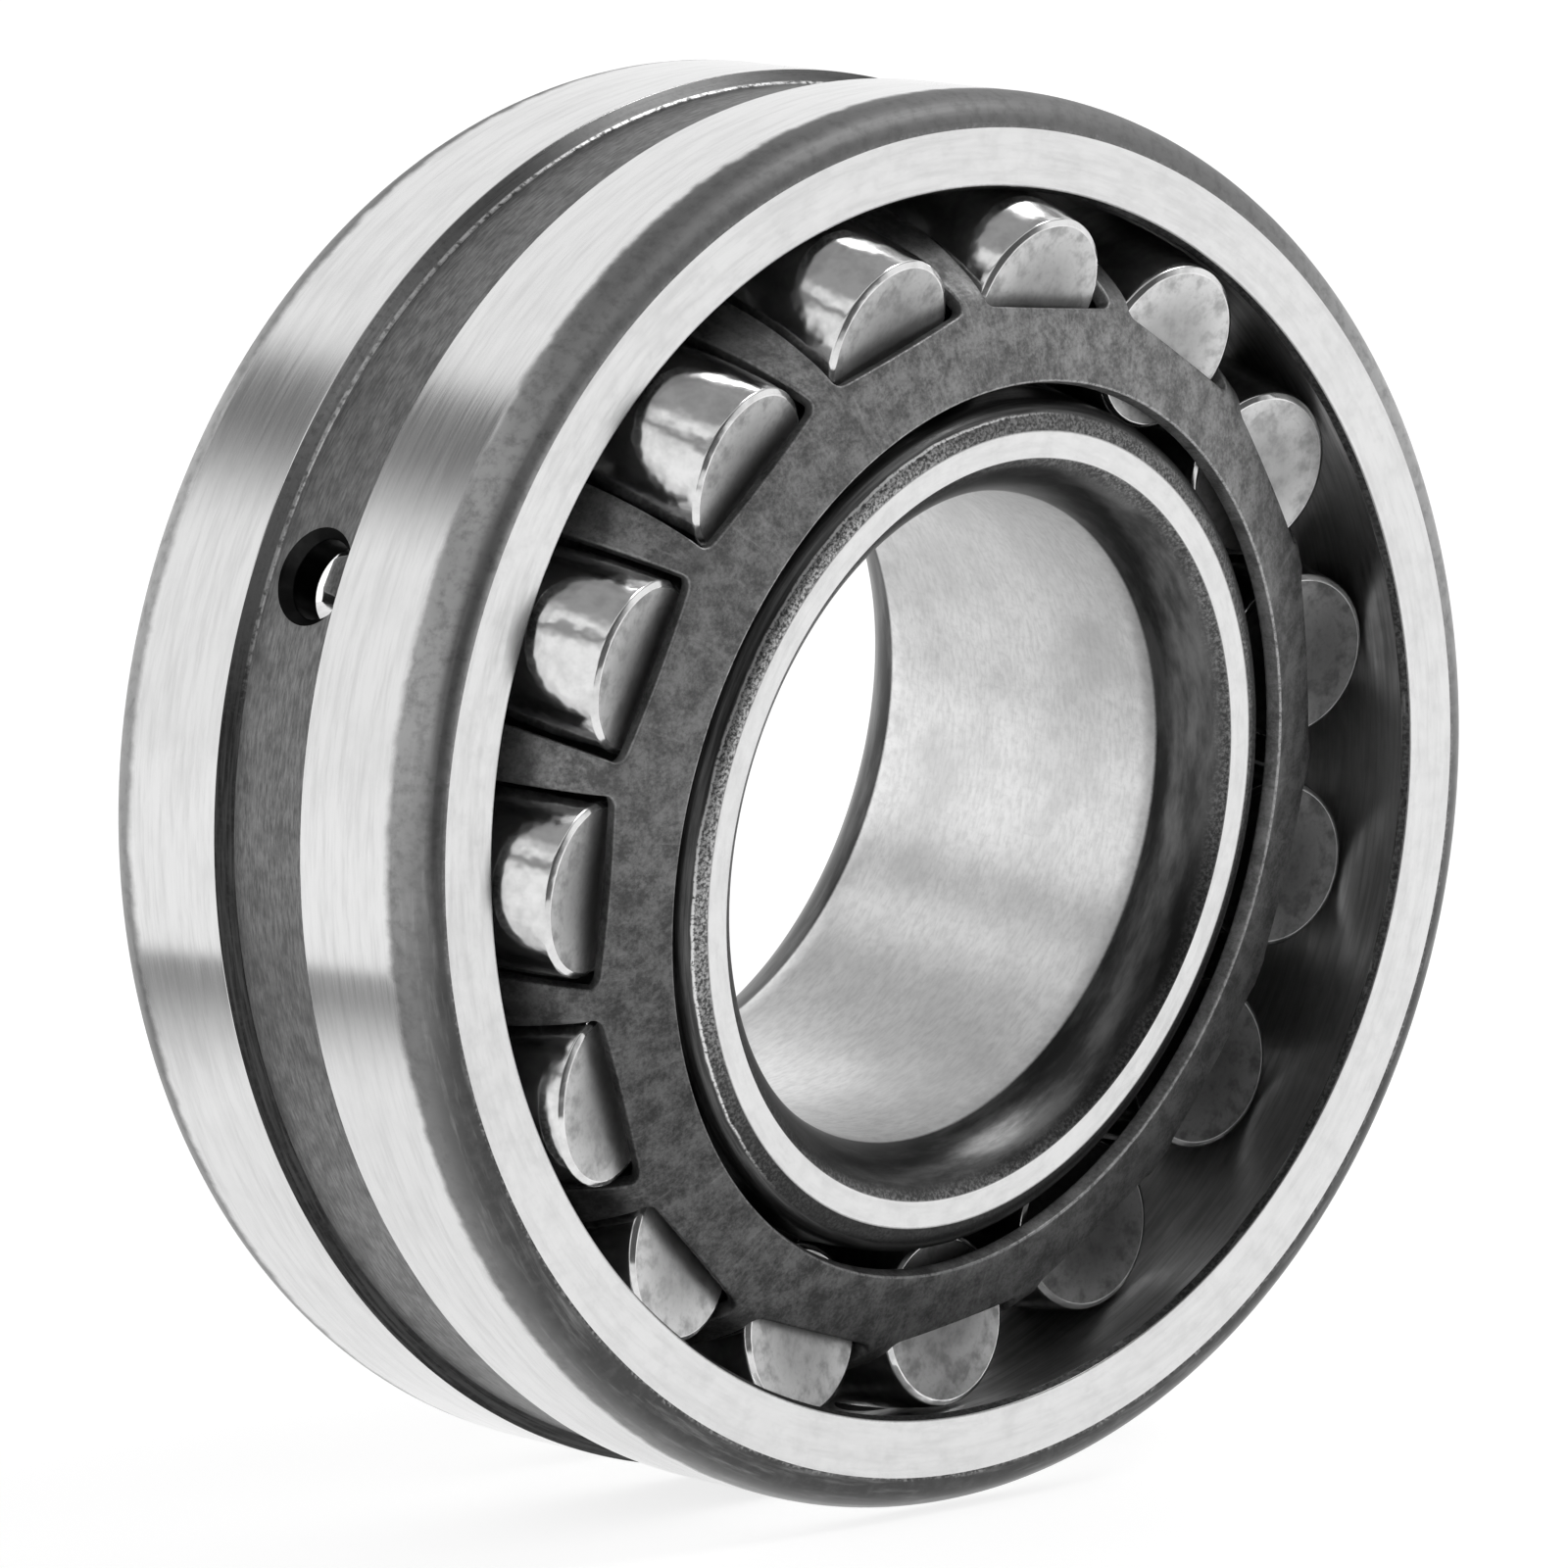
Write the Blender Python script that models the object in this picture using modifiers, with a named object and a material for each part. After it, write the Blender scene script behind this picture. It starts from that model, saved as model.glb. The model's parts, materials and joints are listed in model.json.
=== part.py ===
"""Double-row spherical roller bearing, 70 x 150 x 51 mm, in metres, +Z up.

The origin is the centre of the spherical raceway. The outer ring's axis lies along Y with its
front face towards -Y, so it stands upright like a wheel. The inner ring, the two cages, the
guide ring and the rollers are swivelled together inside the outer ring by SWIVEL_ANGLE.

Every piece is modelled in an axial frame: Z along the bearing's axis towards the front face, X to
the right, Y up when seen from the front. A turned section is a list of (radius, height) points.
"""

import math

import bmesh
import bpy
from mathutils import Matrix, Vector

# Boundary dimensions
BORE_RADIUS = 0.0350
OUTER_RADIUS = 0.0750
HALF_WIDTH = 0.0255

# Attitude of the inner assembly: the axis it is swivelled about lies in the outer ring's middle plane
SWIVEL_ANGLE = math.radians(9.54)
SWIVEL_AXIS_ANGLE = math.radians(43.76)

# Rollers and raceways
ROLLERS_PER_ROW = 15
PITCH_ANGLE = 2 * math.pi / ROLLERS_PER_ROW
FIRST_ROLLER_ANGLE = math.radians(12.0)
CONTACT_ANGLE = math.radians(12.4)
ROLLER_RADIUS = 0.0098
ROLLER_HALF_LENGTH = 0.0088
ROLLER_CROWN_RADIUS = 0.0670
ROLLER_CORNER = 0.0006
OUTER_RACEWAY_RADIUS = 0.0692
INNER_RACEWAY_CROWN = 0.0690
RUNNING_GAP = 0.0003
END_GAP = 0.0003
ROW_CENTRE_DISTANCE = OUTER_RACEWAY_RADIUS - RUNNING_GAP - ROLLER_RADIUS
ROW_RADIUS = ROW_CENTRE_DISTANCE * math.cos(CONTACT_ANGLE)
ROW_HEIGHT = ROW_CENTRE_DISTANCE * math.sin(CONTACT_ANGLE)

# Outer ring
OUTER_CORNER_RADIAL = 0.0038
OUTER_CORNER_AXIAL = 0.0048
OUTER_FACE_INNER_RADIUS = 0.0651
OUTER_EDGE_CHAMFER = 0.0009
GROOVE_HALF_WIDTH = 0.0070
GROOVE_FLOOR_HALF_WIDTH = 0.0056
GROOVE_DEPTH = 0.0015
GREASE_HOLE_COUNT = 3
GREASE_HOLE_ANGLE = math.radians(157.6)
GREASE_HOLE_HEIGHT = 0.0010
GREASE_HOLE_RADIUS = 0.0043
GREASE_HOLE_MOUTH_RADIUS = 0.0053
GREASE_HOLE_MOUTH_DEPTH = 0.0012

# Inner ring
BORE_CORNER_START = 0.0170
BORE_CORNER_RADIAL = 0.0051
INNER_FACE_OUTER_RADIUS = 0.0430
INNER_SHOULDER_RADIUS = 0.0461
INNER_CORNER_AXIAL = 0.0030
INNER_RACEWAY_HALF_LENGTH = 0.0090

# Guide ring, floating between the rows
GUIDE_BORE_RADIUS = 0.0509
GUIDE_OUTER_RADIUS = 0.0608
GUIDE_CORNER = 0.0006

# Cages: pressed sheet, from the flange's inner edge to the closed ring at the middle
SHEET_THICKNESS = 0.0018
FLANGE_INNER_EDGE = (0.0482, 0.0256)
FLANGE_POCKET_EDGE = (0.0556, 0.0233)
BAR_BEND = (0.0574, 0.0225)
BAR_SHOULDER = (0.0592, 0.0200)
BAR_MIDDLE = (0.0622, 0.0140)
MIDDLE_RING_FRONT = (0.0646, 0.0043)
MIDDLE_RING_REAR = (0.0651, 0.0006)
POCKET_HALF_WIDTH = 0.0102
POCKET_HALF_WIDTH_AT_BEND = 0.0096
POCKET_COLUMNS = (-1.0, -1 / 3, 1 / 3, 1.0)

# Facets
OUTER_RING_STEPS = 72
INNER_RING_STEPS = 60
GUIDE_RING_STEPS = 60
ROLLER_STEPS = 14
HOLE_STEPS = 16
OUTER_CORNER_STEPS = 3
OUTER_RACEWAY_STEPS = 10
BORE_CORNER_STEPS = 3
INNER_CORNER_STEPS = 2
INNER_RACEWAY_STEPS = 5
BARREL_STEPS = 4
MERGE_DISTANCE = 0.00001


def clear_scene():
    for obj in list(bpy.data.objects):
        bpy.data.objects.remove(obj, do_unlink=True)


def new_collection(name):
    collection = bpy.data.collections.new(name)
    bpy.context.scene.collection.children.link(collection)
    return collection


def steel(name, colour, roughness):
    material = bpy.data.materials.new(name)
    material.use_nodes = True
    shader = material.node_tree.nodes["Principled BSDF"]
    shader.inputs["Base Color"].default_value = (*colour, 1.0)
    shader.inputs["Metallic"].default_value = 1.0
    shader.inputs["Roughness"].default_value = roughness
    return material


def arc(centre, radii, start, end, steps):
    """Points of an elliptical arc in a section, from one angle to the other, both ends included."""
    angles = [start + (end - start) * i / steps for i in range(steps + 1)]
    return [
        (centre[0] + radii[0] * math.cos(a), centre[1] + radii[1] * math.sin(a))
        for a in angles
    ]


def mirrored(section):
    """The section's points reflected to the rear half, in reverse order."""
    return [(radius, -height) for radius, height in reversed(section)]


def add_screw(obj, steps):
    screw = obj.modifiers.new("Turn", "SCREW")
    screw.axis = "Z"
    screw.steps = steps
    screw.render_steps = steps
    screw.use_merge_vertices = True
    screw.merge_threshold = MERGE_DISTANCE
    screw.use_smooth_shade = True


def section_mesh(name, section, closed):
    """A section in the XZ plane as loose edges; closed joins its last point to its first."""
    count = len(section)
    edges = [(i, i + 1) for i in range(count - 1)]
    if closed:
        edges.append((count - 1, 0))
    mesh = bpy.data.meshes.new(name)
    mesh.from_pydata([(radius, 0.0, height) for radius, height in section], edges, [])
    return mesh


def add_object(name, mesh, collection, material, parent):
    obj = bpy.data.objects.new(name, mesh)
    collection.objects.link(obj)
    if material:
        mesh.materials.append(material)
    obj.parent = parent
    return obj


def add_empty(name, matrix, collection, parent=None):
    empty = bpy.data.objects.new(name, None)
    empty.empty_display_size = HALF_WIDTH
    collection.objects.link(empty)
    empty.parent = parent
    empty.matrix_local = matrix
    return empty


def turned(name, section, steps, collection, material, parent):
    """A ring turned from a closed section that runs down its outer side and up its inner side."""
    obj = add_object(name, section_mesh(name, section, True), collection, material, parent)
    add_screw(obj, steps)
    return obj


def from_roller(along, out):
    """Section point at a place along a front roller's axis, towards the front, and out from that axis."""
    radius = ROW_RADIUS - along * math.sin(CONTACT_ANGLE) + out * math.cos(CONTACT_ANGLE)
    height = ROW_HEIGHT + along * math.cos(CONTACT_ANGLE) + out * math.sin(CONTACT_ANGLE)
    return radius, height


def crown_drop(along, crown):
    return crown - math.sqrt(crown**2 - along**2)


def outer_ring_section():
    corner = arc(
        (OUTER_RADIUS - OUTER_CORNER_RADIAL, HALF_WIDTH - OUTER_CORNER_AXIAL),
        (OUTER_CORNER_RADIAL, OUTER_CORNER_AXIAL),
        math.pi / 2,
        0.0,
        OUTER_CORNER_STEPS,
    )
    front_half = corner + [
        (OUTER_RADIUS, GROOVE_HALF_WIDTH),
        (OUTER_RADIUS - GROOVE_DEPTH, GROOVE_FLOOR_HALF_WIDTH),
    ]
    raceway_end = math.asin((HALF_WIDTH - OUTER_EDGE_CHAMFER) / OUTER_RACEWAY_RADIUS)
    radii = (OUTER_RACEWAY_RADIUS, OUTER_RACEWAY_RADIUS)
    raceway = arc((0.0, 0.0), radii, -raceway_end, raceway_end, OUTER_RACEWAY_STEPS)
    face_edge = (OUTER_FACE_INNER_RADIUS, HALF_WIDTH)
    return front_half + mirrored(front_half) + mirrored([face_edge]) + raceway + [face_edge]


def add_outer_ring(parts, cutters, material, parent):
    ring = turned("outer_ring", outer_ring_section(), OUTER_RING_STEPS, parts, material, parent)
    floor = OUTER_RADIUS - GROOVE_DEPTH
    plug_section = [
        (0.0, OUTER_RADIUS),
        (GREASE_HOLE_MOUTH_RADIUS, OUTER_RADIUS),
        (GREASE_HOLE_MOUTH_RADIUS, floor),
        (GREASE_HOLE_RADIUS, floor - GREASE_HOLE_MOUTH_DEPTH),
        (GREASE_HOLE_RADIUS, OUTER_RACEWAY_RADIUS - GREASE_HOLE_RADIUS),
        (0.0, OUTER_RACEWAY_RADIUS - GREASE_HOLE_RADIUS),
    ]
    lift = Matrix.Translation((0.0, 0.0, GREASE_HOLE_HEIGHT))
    for index in range(GREASE_HOLE_COUNT):
        name = f"grease_hole_cutter_{index + 1}"
        plug = add_object(name, section_mesh(name, plug_section, False), cutters, None, parent)
        add_screw(plug, HOLE_STEPS)
        angle = GREASE_HOLE_ANGLE + 2 * math.pi * index / GREASE_HOLE_COUNT
        plug.matrix_local = lift @ Matrix.Rotation(angle, 4, "Z") @ Matrix.Rotation(math.pi / 2, 4, "Y")
        plug.hide_render = True
        plug.display_type = "WIRE"
        cut = ring.modifiers.new(f"Grease hole {index + 1}", "BOOLEAN")
        cut.operation = "DIFFERENCE"
        cut.solver = "EXACT"
        cut.object = plug


def inner_raceway():
    """The front raceway, from its outer end to its inner end."""
    clearance = ROLLER_RADIUS + RUNNING_GAP
    shares = [1 - 2 * i / INNER_RACEWAY_STEPS for i in range(INNER_RACEWAY_STEPS + 1)]
    places = [INNER_RACEWAY_HALF_LENGTH * share for share in shares]
    return [from_roller(a, crown_drop(a, INNER_RACEWAY_CROWN) - clearance) for a in places]


def inner_ring_section():
    face_corner = arc(
        (INNER_FACE_OUTER_RADIUS, HALF_WIDTH - INNER_CORNER_AXIAL),
        (INNER_SHOULDER_RADIUS - INNER_FACE_OUTER_RADIUS, INNER_CORNER_AXIAL),
        math.pi / 2,
        0.0,
        INNER_CORNER_STEPS,
    )
    outer_side = face_corner + inner_raceway()
    axial = HALF_WIDTH - BORE_CORNER_START
    radius = (axial**2 + BORE_CORNER_RADIAL**2) / (2 * BORE_CORNER_RADIAL)
    bore_corner = arc(
        (BORE_RADIUS + radius, BORE_CORNER_START),
        (radius, radius),
        math.pi,
        math.pi - math.asin(axial / radius),
        BORE_CORNER_STEPS,
    )
    return outer_side + mirrored(outer_side) + mirrored(bore_corner) + bore_corner


def guide_ring_section():
    """A wedge that stands between the rollers' inner ends."""
    slope = math.tan(CONTACT_ANGLE)
    end_radius, end_height = from_roller(-ROLLER_HALF_LENGTH, 0.0)

    def half_width(radius):
        return end_height + (radius - end_radius) * slope - END_GAP

    crest = GUIDE_OUTER_RADIUS - GUIDE_CORNER
    front = [
        (GUIDE_BORE_RADIUS, half_width(GUIDE_BORE_RADIUS)),
        (crest, half_width(crest)),
        (GUIDE_OUTER_RADIUS, half_width(crest) - GUIDE_CORNER),
    ]
    return front + mirrored(front)


def roller_mesh():
    """One barrel roller, standing on its own axis; every roller shares it."""
    half = ROLLER_HALF_LENGTH
    shoulder = half - ROLLER_CORNER
    heights = [shoulder * (1 - 2 * i / BARREL_STEPS) for i in range(BARREL_STEPS + 1)]
    barrel = [(ROLLER_RADIUS - crown_drop(h, ROLLER_CROWN_RADIUS), h) for h in heights]
    face_radius = barrel[0][0] - ROLLER_CORNER
    section = [(0.0, half), (face_radius, half)] + barrel + [(face_radius, -half), (0.0, -half)]
    return section_mesh("roller", section, False)


def add_roller(name, angle, mesh, parts, parent):
    roller = bpy.data.objects.new(name, mesh)
    parts.objects.link(roller)
    roller.parent = parent
    add_screw(roller, ROLLER_STEPS)
    place = Matrix.Translation((ROW_RADIUS, 0.0, ROW_HEIGHT))
    lean = Matrix.Rotation(-CONTACT_ANGLE, 4, "Y")
    roller.matrix_local = Matrix.Rotation(angle, 4, "Z") @ place @ lean


def cage_rows():
    """(radius, height, pocket half width, straight) for each row of the cage's outer surface."""
    wide = POCKET_HALF_WIDTH
    at_bend = POCKET_HALF_WIDTH_AT_BEND
    return [
        (*FLANGE_INNER_EDGE, at_bend, False),
        (*FLANGE_POCKET_EDGE, at_bend, True),
        (*BAR_BEND, at_bend, False),
        (*BAR_SHOULDER, wide, False),
        (*BAR_MIDDLE, wide, False),
        (*MIDDLE_RING_FRONT, wide, True),
        (*MIDDLE_RING_REAR, wide, False),
    ]


def cage_mesh():
    """The cage's outer surface as an open sheet: 15 pockets, with a bar between each two."""
    sheet = bmesh.new()
    grid = []
    for radius, height, half_width, straight in cage_rows():
        row = []
        for pocket in range(ROLLERS_PER_ROW):
            middle = FIRST_ROLLER_ANGLE + pocket * PITCH_ANGLE
            for column in POCKET_COLUMNS:
                across = column * half_width
                if straight:
                    turn = math.atan(across / radius)
                    reach = math.hypot(radius, across)
                else:
                    turn = math.asin(across / radius)
                    reach = radius
                angle = middle + turn
                corner = (reach * math.cos(angle), reach * math.sin(angle), height)
                row.append(sheet.verts.new(corner))
        grid.append(row)
    columns = len(grid[0])
    last = len(grid) - 2
    for r in range(last + 1):
        for c in range(columns):
            over_pocket = c % len(POCKET_COLUMNS) != len(POCKET_COLUMNS) - 1
            if over_pocket and r not in (0, last):
                continue
            n = (c + 1) % columns
            sheet.faces.new((grid[r][c], grid[r][n], grid[r + 1][n], grid[r + 1][c]))
    loose = [v for v in sheet.verts if not v.link_faces]
    bmesh.ops.delete(sheet, geom=loose, context="VERTS")
    for face in sheet.faces:
        face.normal_update()
    outward = Vector((0.0, 0.0, 1.0))
    if next(iter(sheet.faces)).normal.dot(outward) < 0:
        bmesh.ops.reverse_faces(sheet, faces=sheet.faces)
    mesh = bpy.data.meshes.new("cage")
    sheet.to_mesh(mesh)
    sheet.free()
    return mesh


def add_cage(name, mesh, parts, parent):
    cage = bpy.data.objects.new(name, mesh)
    parts.objects.link(cage)
    cage.parent = parent
    thickness = cage.modifiers.new("Sheet", "SOLIDIFY")
    thickness.thickness = SHEET_THICKNESS
    thickness.offset = -1.0
    thickness.use_even_offset = True
    return cage


def add_row(row, row_axis, cage, roller, parts):
    """One row's cage and rollers, all on the row's empty."""
    add_cage(f"cage_{row}", cage, parts, row_axis)
    for index in range(ROLLERS_PER_ROW):
        angle = FIRST_ROLLER_ANGLE + index * PITCH_ANGLE
        add_roller(f"roller_{row}_{index + 1:02d}", angle, roller, parts, row_axis)


def build():
    clear_scene()
    parts = new_collection("spherical_roller_bearing")
    cutters = new_collection("cutters")
    cutters.hide_render = True

    ring_steel = steel("ring_steel", (0.74, 0.74, 0.74), 0.28)
    roller_steel = steel("roller_steel", (0.62, 0.62, 0.62), 0.12)
    cage_steel = steel("cage_steel", (0.09, 0.09, 0.09), 0.55)
    guide_steel = steel("guide_steel", (0.16, 0.16, 0.16), 0.45)

    axis_forward = Matrix.Rotation(math.pi / 2, 4, "X")
    swivel_axis = Vector((math.cos(SWIVEL_AXIS_ANGLE), 0.0, math.sin(SWIVEL_AXIS_ANGLE)))
    swivel = Matrix.Rotation(SWIVEL_ANGLE, 4, swivel_axis)
    ring_axis = add_empty("ring_axis", axis_forward, parts)
    inner_axis = add_empty("inner_axis", swivel @ axis_forward, parts)
    turned_over = Matrix.Rotation(math.pi, 4, "X")
    stagger = Matrix.Rotation(PITCH_ANGLE / 2, 4, "Z")
    front_row = add_empty("front_row_axis", Matrix.Identity(4), parts, inner_axis)
    rear_row = add_empty("rear_row_axis", stagger @ turned_over, parts, inner_axis)

    add_outer_ring(parts, cutters, ring_steel, ring_axis)
    turned("inner_ring", inner_ring_section(), INNER_RING_STEPS, parts, ring_steel, inner_axis)
    turned("guide_ring", guide_ring_section(), GUIDE_RING_STEPS, parts, guide_steel, inner_axis)

    cage = cage_mesh()
    cage.materials.append(cage_steel)
    roller = roller_mesh()
    roller.materials.append(roller_steel)
    add_row("front", front_row, cage, roller, parts)
    add_row("rear", rear_row, cage, roller, parts)


build()
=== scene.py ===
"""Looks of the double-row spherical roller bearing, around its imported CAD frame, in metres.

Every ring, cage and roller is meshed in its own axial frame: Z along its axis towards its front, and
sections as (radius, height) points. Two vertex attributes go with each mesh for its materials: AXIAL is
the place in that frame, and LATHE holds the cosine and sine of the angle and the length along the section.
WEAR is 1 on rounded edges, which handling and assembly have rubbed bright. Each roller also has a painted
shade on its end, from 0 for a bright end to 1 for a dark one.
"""

import json
import math

import bmesh
import bpy
import numpy as np
from mathutils import Matrix, Vector


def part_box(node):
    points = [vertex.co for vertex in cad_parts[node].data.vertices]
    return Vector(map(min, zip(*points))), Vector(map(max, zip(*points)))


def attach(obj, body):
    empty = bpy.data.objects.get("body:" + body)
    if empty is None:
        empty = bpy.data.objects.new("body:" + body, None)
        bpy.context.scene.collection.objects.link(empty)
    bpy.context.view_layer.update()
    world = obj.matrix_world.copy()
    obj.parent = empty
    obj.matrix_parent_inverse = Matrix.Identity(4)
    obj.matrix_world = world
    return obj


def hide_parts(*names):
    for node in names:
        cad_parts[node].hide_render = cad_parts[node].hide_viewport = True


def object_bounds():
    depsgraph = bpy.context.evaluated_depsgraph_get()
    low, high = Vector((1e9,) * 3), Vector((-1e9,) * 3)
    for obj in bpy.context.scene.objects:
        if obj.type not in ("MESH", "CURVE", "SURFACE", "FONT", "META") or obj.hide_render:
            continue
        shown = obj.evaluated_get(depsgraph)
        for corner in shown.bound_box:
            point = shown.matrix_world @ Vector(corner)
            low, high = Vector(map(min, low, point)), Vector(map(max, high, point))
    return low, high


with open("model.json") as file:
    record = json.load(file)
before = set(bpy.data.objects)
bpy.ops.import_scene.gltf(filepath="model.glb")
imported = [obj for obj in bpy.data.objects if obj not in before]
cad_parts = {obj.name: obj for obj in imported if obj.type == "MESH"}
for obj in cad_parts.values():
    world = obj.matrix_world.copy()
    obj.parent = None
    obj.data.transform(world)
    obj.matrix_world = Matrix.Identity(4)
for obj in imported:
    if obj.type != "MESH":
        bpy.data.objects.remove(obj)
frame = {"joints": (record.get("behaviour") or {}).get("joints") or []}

CAD_LOW, CAD_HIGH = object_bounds()

# Attribute names
AXIAL = "axial"
LATHE = "lathe"
WEAR = "wear"
# Painted shade on a roller's end, kept as an object property
END_SHADE = "painted_end_shade"

# Outer ring
RING_LOW, RING_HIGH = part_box("outer_ring")
OUTER_RADIUS = (RING_HIGH.z - RING_LOW.z) / 2
HALF_WIDTH = (RING_HIGH.y - RING_LOW.y) / 2
OUTER_CORNER_RADIAL = 0.0038
OUTER_CORNER_AXIAL = 0.0048
CORNER_START = HALF_WIDTH - OUTER_CORNER_AXIAL
OUTER_FACE_INNER_RADIUS = 0.0651
OUTER_EDGE_CHAMFER = 0.0009
OUTER_RACEWAY_RADIUS = 0.0692
GROOVE_HALF_WIDTH = 0.0070
GROOVE_FLOOR_HALF_WIDTH = 0.0056
GROOVE_FLOOR_RADIUS = OUTER_RADIUS - 0.0015
GREASE_HOLE_COUNT = 3
GREASE_HOLE_ANGLE = math.radians(157.6)
GREASE_HOLE_HEIGHT = 0.0010
GREASE_HOLE_RADIUS = 0.0043
GREASE_HOLE_MOUTH_RADIUS = 0.0053
GREASE_HOLE_MOUTH_DEPTH = 0.0012
GREASE_HOLE_EDGE = 0.0001
OUTER_CORNER_STEPS = 14
OUTER_RACEWAY_STEPS = 44

# Rollers and their row
ROLLERS_PER_ROW = 15
PITCH_ANGLE = 2 * math.pi / ROLLERS_PER_ROW
CONTACT_ANGLE = math.radians(12.4)
ROLLER_RADIUS = 0.0098
ROLLER_HALF_LENGTH = 0.0088
ROLLER_CROWN_RADIUS = 0.0670
ROLLER_CORNER = 0.0006
ROLLER_CORNER_LENGTH = 0.6 * ROLLER_CORNER
ROLLER_TURN = 5.3
# Painted shade on each roller's end, set roller by roller: 0 for a bright end, 1 for a dark one
FRONT_END_SHADES = (0.95, 0.10, 0.05, 0.20, 0.45, 0.40, 0.30, 0.40, 0.25, 0.15, 0.30, 0.75, 0.95, 1.0, 0.95)
REAR_END_SHADE = 0.6
RUNNING_GAP = 0.0003
END_GAP = 0.0003
ROW_CENTRE_DISTANCE = OUTER_RACEWAY_RADIUS - RUNNING_GAP - ROLLER_RADIUS
ROW_RADIUS = ROW_CENTRE_DISTANCE * math.cos(CONTACT_ANGLE)
ROW_HEIGHT = ROW_CENTRE_DISTANCE * math.sin(CONTACT_ANGLE)

# Inner ring
BORE_RADIUS = 0.0350
BORE_CORNER_START = 0.0170
BORE_CORNER_RADIAL = 0.0051
BORE_DARK_START = 0.0189
INNER_FACE_OUTER_RADIUS = 0.0430
INNER_SHOULDER_RADIUS = 0.0461
INNER_CORNER_AXIAL = 0.0030
INNER_RACEWAY_HALF_LENGTH = 0.0090
INNER_RACEWAY_CROWN = 0.0690
INNER_RACEWAY_STEPS = 24
INNER_CORNER_STEPS = 10
INNER_CORNER_GRAIN_WIDTH = 0.0016
BORE_CORNER_STEPS = 14
BORE_SPECKLE_START = BORE_RADIUS + 0.0032
BORE_SPECKLE_END = BORE_RADIUS + 0.0050

# Guide ring
GUIDE_BORE_RADIUS = 0.0509
GUIDE_OUTER_RADIUS = 0.0608
GUIDE_CORNER = 0.0006
GUIDE_BORE_FILLET = 0.0004

# Cages
SHEET_THICKNESS = 0.0018
FLANGE_INNER_EDGE = (0.0482, 0.0256)
FLANGE_POCKET_EDGE = (0.0556, 0.0233)
BAR_BEND = (0.0574, 0.0225)
BAR_SHOULDER = (0.0592, 0.0200)
BAR_MIDDLE = (0.0622, 0.0140)
MIDDLE_RING_FRONT = (0.0646, 0.0043)
MIDDLE_RING_REAR = (0.0651, 0.0006)
POCKET_HALF_WIDTH = 0.0102
POCKET_CORNER = 0.0013
POCKET_FRAME = 0.0016
CAGE_EDGE = 0.0004
CAGE_RIM_RADIUS = 0.0492
POCKET_EDGE_WEAR = 0.35
POCKET_BOW_LENGTH = 6 * POCKET_CORNER
POCKET_FRONT_STEPS = 9
POCKET_CORNER_STEPS = 6
POCKET_SIDE_STEPS = 18
POCKET_SIDE_CROWDING = 1.25
REAR_FRAME_SHARE = 0.45
FRAME_STEPS = 5
FLANGE_STEPS = 8
MIDDLE_RING_STEPS = 2
CAGE_CURVE_ROUNDS = 4
CAGE_EDGE_STEPS = 3
CAGE_EDGE_ANGLE = math.radians(50)
# Places along half a pocket's outline, from its front middle, where its corners are halfway round
FRONT_CORNER = POCKET_FRONT_STEPS + POCKET_CORNER_STEPS // 2
REAR_CORNER = POCKET_FRONT_STEPS + POCKET_CORNER_STEPS + POCKET_SIDE_STEPS + POCKET_CORNER_STEPS // 2

# Rounded edges
FINE_FILLET = 0.00012
EDGE_FILLET = 0.00015
SHOULDER_FILLET = 0.0002
HOLLOW_FILLET = 0.0003
ROLLER_FILLET = 0.0004

# Fineness
RING_STEPS = 288
ROLLER_STEPS = 96
ROLLER_BARREL_STEPS = 20
HOLE_STEPS = 64
FILLET_STEPS = 4
SHARP_ANGLE = math.radians(40)

# Camera and floor
CAMERA_PLACE = (-0.837581, -0.941633, 0.195081)
CAMERA_RIGHT = (0.74833729, -0.6633184, 0.0)
CAMERA_UP = (0.10178429, 0.11483019, 0.98815686)
CAMERA_LENS = 275.36
FLOOR_SIZE = 24.0
FLOOR_GAP = 0.0004
FLOOR_GLOW = 0.78

# Painted light and shade, as directions in axial frames: the side of the inner ring's corner that is painted
# lit, and the side of the cages that is painted in shade
LIT_SIDE = (-0.80, 0.60, 0.0)
SHADED_SIDE = (-0.79, -0.62, 0.0)

# Width of the dark line that edges a ground face
EDGE_LINE = 0.00025

# Depth of the relief of each kind of surface
LINE_RELIEF = 0.0000016
GROUND_RELIEF = 0.00002
TURNED_RELIEF = 0.00003
GRAIN_RELIEF = 0.00005
COAT_RELIEF = 0.00007

# Studio: heights are sines of the angle above the horizon, edges cosines of the angle from a direction
KEY_PLACE = (0.9, -0.6, 1.7)
KEY_SIZE = 0.7
KEY_POWER = 9.0
TENT_LIGHT = 1.0
CEILING_LIGHT = 0.36
CEILING = (0.70, 0.84)
BELT_LIGHT = 0.22
BELT_FADE = (0.38, 0.55)
BELT_TOP = (0.59, 0.62)
BELT_GAP_DIRECTION = (0.56, 0.83, 0.0)
BELT_GAP_EDGE = (0.58, 0.80)
OPENING_LIGHT = 0.10
OPENING_DIRECTION = (-0.10, -0.995, 0.0)
OPENING_EDGE = (0.66, 0.92)
OPENING_TOP = (0.55, 0.72)
SHADE_LIGHT = 0.06
SHADE_EDGE = (0.83, 0.95)
SHADE_START = (0.20, 0.34)
# Painted shadow at the back left of the floor, seen only in reflections: its direction, edges, near and far
# fades and depth
BACK_SHADOW_DIRECTION = (-0.839, 0.545, 0.0)
BACK_SHADOW_EDGE = (0.84, 0.95)
BACK_SHADOW_NEAR = (0.12, 0.20)
BACK_SHADOW_FAR = (0.215, 0.235)
BACK_SHADOW_SHARE = 0.75


# --- Sections ---


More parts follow.
